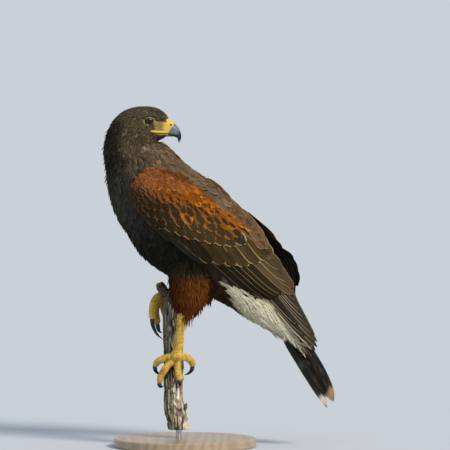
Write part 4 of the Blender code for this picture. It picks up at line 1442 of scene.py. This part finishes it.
def plain_rows(wing, materials):
    """The rows whose feathers share a ground, a fringe and a heart colour; the far wing's secondaries and
    tertials are darkened with painted shade.
    """
    # Painted shade: the far wing's secondaries and tertials at 0.35 of their own colours
    shade = 1.0 if wing == "left" else 0.35
    stiff, covert = materials["stiff"], materials["covert"]
    quill, tertial, grey, dark = QUILL_BROWN * shade, TERTIAL_BROWN * shade, ALULA_GREY, COVERT_DARK
    for name, rows, out, colours, fringe_width, heart_size, material, more in (
        ("secondaries", SECONDARIES, (-5.5, -1.8), (quill, BUFF * 0.72 * shade, QUILL_BROWN * 0.6 * shade),
         0.12, 0.3, stiff, {"stations": 24, "blunt": 0.72, "tilt": 1.0}),
        ("tertials", TERTIALS, (-4.4, -0.8), (tertial, BUFF * 0.7 * shade, TERTIAL_BROWN * 0.7 * shade),
         0.13, 0.4, stiff, {"stations": 20, "blunt": 0.66, "tilt": 0.9}),
        ("alula", ALULA, (-3.5, -1.2), (grey * 0.62, grey * 1.9, grey * 0.45), 0.12, 0.3, stiff, {}),
        ("marginal_coverts", MARGINAL, (-1.6, 0.3), (dark, grey * 1.3, dark * 0.7), 0.16, 0.5, stiff, {}),
        ("primary_coverts", PRIMARY_COVERTS, (-3.4, -0.9), (dark, BUFF * 0.8, dark * 0.7),
         0.12, 0.5, covert, {}),
    ):
        rows = np.array(rows, float)
        ground, fringe, heart = (shades(len(rows), colour, 0.09) for colour in colours)
        paints = painted(ground, fringe, fringe_width, heart, heart_size)
        yield wing_row(wing, name, rows[:, :2], rows[:, 2:].T, out, paints, material, **more)


def make_wing(wing, materials):
    """All rows of one folded wing, from the primaries at the bottom to the scapulars on top."""
    stiff, covert, soft = materials["stiff"], materials["covert"], materials["soft"]
    # Painted shade: the far wing's primaries at 0.35 of their own colours
    shade = 1.0 if wing == "left" else 0.35
    tips = np.array(PRIMARY_TIPS, float)
    n = np.arange(len(tips))
    size = (np.interp(n, [0, 3, 10], [170, 195, 130]), 17, np.interp(n, [0, 3, 10], [-9, -10, -15]))
    ground = shades(len(tips), PRIMARY_DARK * shade, 0.09)
    fringe = shades(len(tips), PRIMARY_EDGE * shade, 0.09) * (1 - 0.5 * ease(3.5, 5.5, n))[:, None]
    paints = painted(ground, fringe, 0.2, ground * 0.5, 0.2)
    pieces = [wing_row(wing, "primaries", tips, size, (-7.5, -2.4), paints, stiff, 0.55, 0.9, stations=26)]
    pieces += plain_rows(wing, materials)
    tips = spread_tips(GREATER_TIPS, 16.5)
    n = len(tips)
    ground = shades(n, COVERT_BROWN, 0.07)
    ground = mix(ground, shades(n, COVERT_DARK * 0.8, 0.06), ease(165, 142, tips[:, 0]))
    paints = painted(ground, shades(n, BUFF, 0.06), 0.17, ground * 0.75, 0.7)
    size = (62, 25, -11)
    pieces.append(wing_row(wing, "greater_coverts", tips, size, (-3.4, -0.7), paints, covert, 0.78, 0.9))
    pieces.append(patch_row(wing, "median_coverts", spread_tips(MEDIAN_TIPS, 14.5), 14.0, soft))
    pieces.append(patch_row(wing, "lesser_coverts", *lesser_tips(), soft))
    tips = [
        (along, np.interp(along, *SCAPULAR_LINE) + above)
        for row, (first, last, above) in enumerate(SCAPULAR_ROWS)
        for along in np.arange(first + 5.0 * row, last, 12.0)
    ]
    n = len(tips)
    tips = np.array(tips) + RANDOM.normal(0, 0.9, (n, 2))
    a = tips[:, 0]
    if wing == "right":
        tips[:, 1] -= 10 * ease(80, 125, a)
    ground = mix(shades(n, MANTLE * 0.85, 0.12), shades(n, SCAPULAR, 0.10), ease(70, 120, a))
    ground = ground * np.interp(a, (70, 100, 125, 150), (1, 0.78, 0.78, 1))[:, None]
    paints = painted(ground, shades(n, MANTLE_EDGE, 0.1), 0.16, ground * 0.72, 0.55)
    size = (38, np.interp(a, (50, 88), (10, 17)), np.interp(a, (60, 100, 150, 200), (2, -3, -9, -16)))
    last = wing_row(wing, "scapulars", tips, size, (-1.2, 1.0), paints, covert, 0.66, -0.4, stations=10)
    return [*pieces, last]


def lesser_tips():
    """Tips of the lesser coverts: a scatter, coarse by the median row and fine at the shoulder."""
    a, b = (RANDOM.uniform(low, high, COVERT_TRIES) for low, high in ((-3, 172), (-14, 67)))
    inside = (b < np.interp(a, *PATCH_TOP) + 3) & (b > np.interp(a, *PATCH_LOW))
    medians = spread_tips(MEDIAN_TIPS, 3.0)
    away = np.min(np.hypot(a[:, None] - medians[:, 0], b[:, None] - medians[:, 1]), 1)
    row = (b - np.interp(a, medians[:, 0], medians[:, 1])) > 4
    inside &= (away > 8.5) & (row | (a < 72))
    spacing = np.interp(away, [8, 24, 45, 70], [11.0, 10.0, 6.0, 4.2]) * np.interp(a, [0, 45], [0.62, 1])
    spacing = spacing * np.where(b > np.interp(a, *HEARTS_TOP), 0.62, 1.0)
    tips = np.stack([a, b, 0 * a], -1)[inside]
    chosen = scatter(tips, spacing[inside])
    return tips[chosen, :2], spacing[inside][chosen]


def patch_row(wing, name, tips, spacing, material):
    """Lesser and median coverts: dark hearts in rufous rims, all rufous towards the shoulder's top."""
    a, b = tips.T
    n, fine = len(a), name == "lesser_coverts"
    spacing = np.broadcast_to(spacing, (n,))
    below = np.interp(a, *HEARTS_TOP) - b
    size = np.clip((below + 4) / 22, 0, 1) ** 0.65 + 0.07 * RANDOM.normal(0, 1, n)
    streaked = RANDOM.uniform(0.05, 0.38, n) * (RANDOM.uniform(0, 1, n) < 0.75)
    size = np.where(below < 0, streaked, np.clip(size, 0, 0.98))
    size = np.where(np.hypot(a - 94, b - 20) < 5, 0.74, size) if fine else np.full(n, 1.02)
    rufous = np.maximum(ease(50, 5, a), ease(2, -16, below) * ease(85, 45, a) * 0.6)
    rim = np.clip(mix(ORANGE, RUFOUS, rufous) * np.exp(0.27 * RANDOM.normal(0, 1, (n, 1))), DARKEST, 1)
    rim = mix(rim, RUST_DARK, ease(8, 24, below) * ease(95, 45, a) * 0.7)
    top = b - np.interp(a, *PATCH_TOP)
    # Painted shadow: the rims darkened along part of the patch's top edge, where the mantle and scapular
    # feathers overlap it
    rim = rim * (1 - 0.5 * ease(-5, -1, top) * band(a, 10, 20, 50, 62))[:, None]
    rim = rim * (1 + 0.55 * ease(-18, -7, top) * ease(56, 72, a))[:, None]
    if not fine:
        rim = mix(rim, BUFF * 0.8, RANDOM.uniform(0.2, 0.9, n))
    fringe = np.clip(mix(rim * 1.9, BUFF, ease(14, 36, below) * 0.8), 0, 1)
    heart = mix(shades(n, COVERT_DARK, 0.12), RUST_DARK * 0.75, ease(4, -4, below))
    heart = mix(heart, COVERT_BROWN, ease(55, 110, a) * ease(12, 36, below) * 0.75)
    heading = np.interp(top, [-60, -4], [-21, -7]) + RANDOM.normal(0, 3, n)
    upper = ease(16, 4, below)
    paints = painted(rim * (1 - 0.2 * upper)[:, None], fringe, 0.15 + 0.08 * upper, heart, size)
    out, columns, stations = ((-1.5, 0.5), 5, 8) if fine else ((-2.4, -0.1), 7, 12)
    sizes = (spacing * 2.3 + 4, spacing * 1.32, heading)
    return wing_row(wing, name, tips, sizes, out, paints, material, 0.62, 0.35, columns, stations)


def make_tail(material):
    """Twelve tail feathers, closed to a narrow stack and twisted so that the underside shows.

    Each is a flat vane whose middle line runs from the rump to its own tip; the outer ones lie lowest.
    """
    start, end = (np.array([row[0], 0, row[1]]) for row in (TAIL[0], TAIL[-1]))
    along = unit(end - start)
    below = np.cross(along, [0, 1.0, 0])
    twisted = np.array([0, 1.0, 0]) * math.cos(TAIL_TWIST) + below * math.sin(TAIL_TWIST)
    square = np.cross(along, twisted)
    stations, columns, count = 26, 7, 12
    v = np.linspace(0, 1, stations)[None, :, None]
    u = np.linspace(-1, 1, columns)[None, None, :]
    rank = np.linspace(-1, 1, count)[:, None, None]
    row = along_rows(TAIL, v[0, :, 0] * (len(TAIL) - 1))
    mid = np.stack([row[:, 0], 0 * row[:, 0], row[:, 1]], -1)[None, :, None]
    parted = np.sign(rank) * (9.0 + 3.0 * np.abs(rank))
    centre = rank * (15 + 2 * v) + (parted - rank * 17) * v**3
    half = 9.5 * vane_width(v, 0.55, 0.8) * u
    depth = (np.abs(rank) - 0.5) * 9.0 * (1 - 0.6 * v) + 0.35 * u * np.sign(rank)
    short = 1 - 0.035 * np.abs(rank) ** 2 - 0.02 * (rank > 0)
    base = mid * short[..., None] + (1 - short[..., None]) * start
    point = base + twisted * (centre + half)[..., None] + square * depth[..., None]
    for pole in (0, -1):
        point[:, pole] = point[:, pole].mean(1, keepdims=True)
    down = np.broadcast_to(-np.cross(twisted, along) * QUILL_THICKNESS, point.shape)
    ground = shades(count, TAIL_DARK, 0.12)
    tip = mix(TAIL_TIP_INNER, TAIL_TIP_OUTER, ease(-0.2, 0.6, rank[:, 0, 0]))
    paints = painted(ground, tip, 0.08, ground * 0.8, 0.3)
    places = np.stack([0.2 + 0.05 * np.arange(count), np.full(count, 0.5)], -1)
    piece = vane_piece("tail_feathers", point, down, paints, places, material)
    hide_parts("tail")
    return piece


def tail_finish():
    """Black-brown, faintly barred grey, white at the root and at the tip."""
    f = Finish("tail_vane", 0.8, Specular_IOR_Level=0.08)
    chart, across, along, own = f.vane()
    streak = f.grained(chart, (6.0, 2.0, 1.0), own, 3.0)
    strands = f.node("ShaderNodeMath", {"operation": "SINE"}, [(along - across * 0.2) * 420.0 + streak * 4.0])
    tip = (along + streak * 0.14 - across * 0.03).step(0.88, 0.96)
    root = (along + streak * 0.08).step(0.12, 0.05)
    grey = streak.step(0.5, 0.68) * along.step(0.3, 0.5) * along.step(0.92, 0.8) * 0.4
    colour = f.colour(f.paint("ground"), tuple(TAIL_BAR), grey)
    colour = f.colour(f.colour(colour, tuple(WHITE), root), f.paint("fringe"), tip)
    shaft = across.step(0.08, 0.03)
    f.feed("Base Color", f.tinted(colour, strands * 0.07 + 0.97 - shaft * 0.25))
    f.bump(strands * 0.4 + shaft, 0.00025)
    return f.material


def make_eyes(material):
    """Each eye a ball; iris and pupil are rings of colour about its outward pole."""
    x, out, z = EYE_PLACE
    for name, side in (("eye_right", -1), ("eye_left", 1)):
        polar, turn = np.linspace(0.001, math.pi - 0.001, 48)[:, None], circle(64)[None]
        outward = unit(np.array([0.16, side * 1.0, 0.02]))
        right = unit(np.cross(outward, [0, 0, 1.0]))
        up = np.cross(right, outward)
        ring = np.cos(turn)[..., None] * right + np.sin(turn)[..., None] * up
        direction = np.cos(polar)[..., None] * outward + np.sin(polar)[..., None] * ring
        grid = np.array([x, HEAD_Y + side * out, z]) + direction * EYE_RADIUS
        radius = np.sin(polar) * EYE_RADIUS + 0 * turn
        pupil = ease(3.1, 2.8, radius) * (np.cos(polar) > 0)
        iris = mix(IRIS_DARK, IRIS, ease(2.4, 4.8, radius))
        colour = mix(iris, PUPIL, np.maximum(pupil, ease(5.0, 5.9, radius)))
        eye = one_body(name + "_ball", grid, colour, material)
        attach(eye, BODY_NAME)
        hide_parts(name)


UPPER_BILL = [
    (-38, 457, -40, 441, 4.6, HEAD_Y, 2.2, 2.4),
    (-30, 458.6, -31, 439, 5.8, HEAD_Y, 2.2, 2.6),
    (-24, 458.6, -24.5, 437.4, 7.0, HEAD_Y, 2.2, 3.2),
    (-18, 456.5, -18.5, 435.6, 6.6, HEAD_Y, 2.0, 3.2),
    (-13, 452, -14.5, 434.2, 5.6, HEAD_Y, 2.0, 3.0),
    (-9, 447, -12.2, 433.4, 4.5, HEAD_Y, 2.0, 2.6),
    (-6.2, 441, -10.8, 432.6, 3.3, HEAD_Y, 2.0, 2.2),
    (-5, 435.5, -10.2, 431.2, 2.2, HEAD_Y, 2.0, 2.0),
    (-5.8, 430.6, -9.6, 429.2, 1.3, HEAD_Y, 2.0, 2.0),
    (-7.8, 427.2, -9.2, 427.4, 0.6, HEAD_Y, 2.0, 2.0),
    (-8.8, 425.9, -9.1, 426.0, 0.15, HEAD_Y, 2.0, 2.0),
]
LOWER_BILL = [
    (-43, 440, -42, 434.0, 6.6, HEAD_Y, 2.2, 2.2),
    (-32, 438.6, -31, 434.0, 5.8, HEAD_Y, 2.2, 2.2),
    (-23, 438.0, -23, 434.6, 5.0, HEAD_Y, 2.2, 2.2),
    (-16.5, 437.0, -17, 434.6, 3.6, HEAD_Y, 2.2, 2.2),
    (-13.2, 436.0, -13.6, 434.8, 2.0, HEAD_Y, 2.2, 2.2),
]


def make_bill(horn):
    """Rounded ovals along the bill: blue-grey horn, darker to its black tip, with painted shade along its
    lower edge and a raised yellow cere.
    """
    grid = oval_rings(UPPER_BILL, 190, 120)
    x, z = grid[..., 0], grid[..., 2]
    side = np.sign(grid[..., 1] - HEAD_Y)
    edge = np.interp(z, (434, 440.5, 444, 448.5, 453, 456), (-23.5, -22.6, -21.2, -17.2, -14.6, -14.0))
    cere = ease(edge + 0.6, edge - 0.9, x + 0.4 * waves(grid, 4, 18))
    flank = ease(2, 4, np.abs(grid[..., 1] - HEAD_Y))
    hole = np.hypot((x + 19.9 + 0.3 * (z - 451)) / 2.4, (z - 451) / 1.7)
    nostril = ease(1.0, 0.5, hole) * flank
    rim = np.exp(-(((hole - 1.25) / 0.35) ** 2)) * flank
    grid[..., 1] += side * (0.35 * cere + 0.3 * rim - 1.5 * nostril)
    grid[..., 2] += 0.35 * cere * ease(452, 458, z)
    # The bill's own black tip, and painted shade along its lower edge, both in the dark horn colour
    dark = np.maximum(ease(-12, -7, x) * ease(447, 437, z), ease(439.5, 436.5, z) * 0.9)
    colour = mix(HORN, HORN_TOP, ease(446, 452, z) * 0.7)
    colour = mix(colour, HORN_TIP_AND_EDGE_SHADE, dark)
    colour = mix(colour, CERE, cere)
    bill = one_body("bill_top", grid, mix(colour, NOSTRIL, nostril), horn)
    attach(bill, BODY_NAME)
    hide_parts("bill_upper")
    grid = oval_rings(LOWER_BILL, 50, 32)
    jaw = one_body("bill_bottom", grid, mix(LORES, JAW_HORN, ease(-26, -21, grid[..., 0])), horn)
    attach(jaw, BODY_NAME)
    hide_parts("bill_lower")


def make_claws(horn):
    """Each claw a tapering curved horn from inside the toe's end, black, greyer at its root."""
    for name, (toe, claw) in TOES.items():
        root = np.array(toe[-1]) * 0.6 + np.array(toe[-2]) * 0.4
        line = [(*root, 2.0)] + [(*point, radius) for point, radius in zip(claw, CLAW_RADII)]
        steps, around = 40, 24
        black = ease(0.15, 0.5, np.linspace(0, 1, steps)[:, None]) + np.zeros((1, around))
        piece = one_body(name + "_claw", tube(line, around, steps), mix(CLAW_ROOT, CLAW_BLACK, black), horn)
        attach(piece, BODY_NAME)
        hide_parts(name.replace("_", "_claw_"))


# Height; axis x; radius of the branch
BRANCH = [
    (24, -9, 15.2),
    (38, -11.5, 15.4),
    (52, -14, 15.2),
    (66, -16, 13.8),
    (84, -16, 14.0),
    (104, -15.8, 14.2),
    (128, -16.2, 13.6),
    (152, -17.2, 13.6),
    (178, -18, 13.2),
    (200, -18, 12.8),
    (214, -18.4, 12.0),
    (219, -18.6, 9.5),
]
KNOB = [(-22, 0, 208, 6.5), (-29, -1, 217, 7.0), (-34, -1, 225, 6.6), (-36, -1, 230, 4.6)]
SPLINTER = [(-10, -4, 44, 4.5), (-1, -6, 54, 3.4), (2.2, -6.5, 61, 1.2)]


def make_perch(material):
    """The branch: a swept round with ridges and cracks along its grain, a broken twig and a splinter."""
    bundle = Bundle()
    steps, around = 300, 200
    rows = along_rows(BRANCH, np.linspace(0, len(BRANCH) - 1, steps))
    height, x, radius = (rows[:, k][:, None] for k in range(3))
    turn = circle(around)[None]

    def branch_form(reach):
        return np.stack([reach * np.cos(turn) + x, reach * np.sin(turn) + 0 * height, height + 0 * turn], -1)

    round_point = branch_form(radius)
    grain = round_point + 1.6 * waves(round_point * [1, 1, 0.35], 9, 7)[..., None] * [1, 1, 0]
    cracks = ease(0.17, 0.0, np.abs(waves(grain * [1, 1, 0.10], 9.0, 3)))
    fine = ease(0.22, 0.0, np.abs(waves(grain * [1, 1, 0.17], 5.0, 13)))
    plates = ease(-0.12, 0.12, waves(grain * [1, 1, 0.28], 11.0, 4))
    pits = ease(0.55, 1.0, waves(round_point * [1, 1, 0.5], 6.0, 6))
    relief = 1.3 * (plates - 0.6) - 1.5 * cracks - 0.7 * fine - 0.9 * pits
    grid = branch_form(radius + relief - 0.3)
    shade = mix(BARK_GREY, BARK_PALE, plates * 0.8)
    shade = mix(shade, BARK_TAN, ease(0.1, 0.9, waves(grain * [1, 1, 0.3], 8, 9)) * 0.7)
    # Painted shade: the bark darkened to 0.55 of its colour on the branch's -X side
    shade = mix(shade, shade * 0.55, ease(-14, -26, grid[..., 0]))
    shade = mix(shade, BARK_CRACK, np.maximum(cracks, np.maximum(fine * 0.75, pits * 0.8)))
    bundle.add(grid, 0, shade)
    for line, steps in ((KNOB, 50), (SPLINTER, 40)):
        twig = tube(line, 48, steps)
        twig = twig + 0.25 * waves(twig * [1, 1, 0.3], 3.0, 8)[..., None]
        tint = mix(TWIG_GREY, TWIG_DARK, ease(0, 0.8, waves(twig, 4, 2)))
        bundle.add(twig, 0, tint)
    perch = bundle.piece("branch", [material])
    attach(perch, BODY_NAME)
    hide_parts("perch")


def main():
    """Makes the stage, the finishes and every piece."""
    make_stage()
    materials = {
        "soft": plumage_finish("soft_feather", 9.0, 60.0, 0.0002, 0.4),
        "covert": plumage_finish("covert_feather", 8.0, 120.0, 0.00015, 0.3),
        "stiff": plumage_finish("quill_feather", 7.0, 320.0, 0.00015, 0.8),
        "tail": tail_finish(),
    }
    make_skin(skin_finish(), scale_finish(), face_finish())
    feathers = make_body_feathers(materials["soft"])
    feathers.append(make_bristles(materials["soft"]))
    feathers += [thigh_feathers(side, materials["soft"]) for side in THIGHS]
    for wing in WING_TABLES:
        feathers += make_wing(wing, materials)
    feathers.append(make_tail(materials["tail"]))
    for piece in feathers:
        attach(piece, BODY_NAME)
    make_eyes(eye_finish())
    make_bill(horn_finish("bill_horn", 0.32))
    make_claws(horn_finish("claw_horn", 0.25))
    make_perch(bark_finish())
    wood, steel = stand_finishes()
    for node, material in (("stand_base", wood), ("stand_rod", steel)):
        frame["nodes"][node].data.materials.clear()
        frame["nodes"][node].data.materials.append(material)


main()
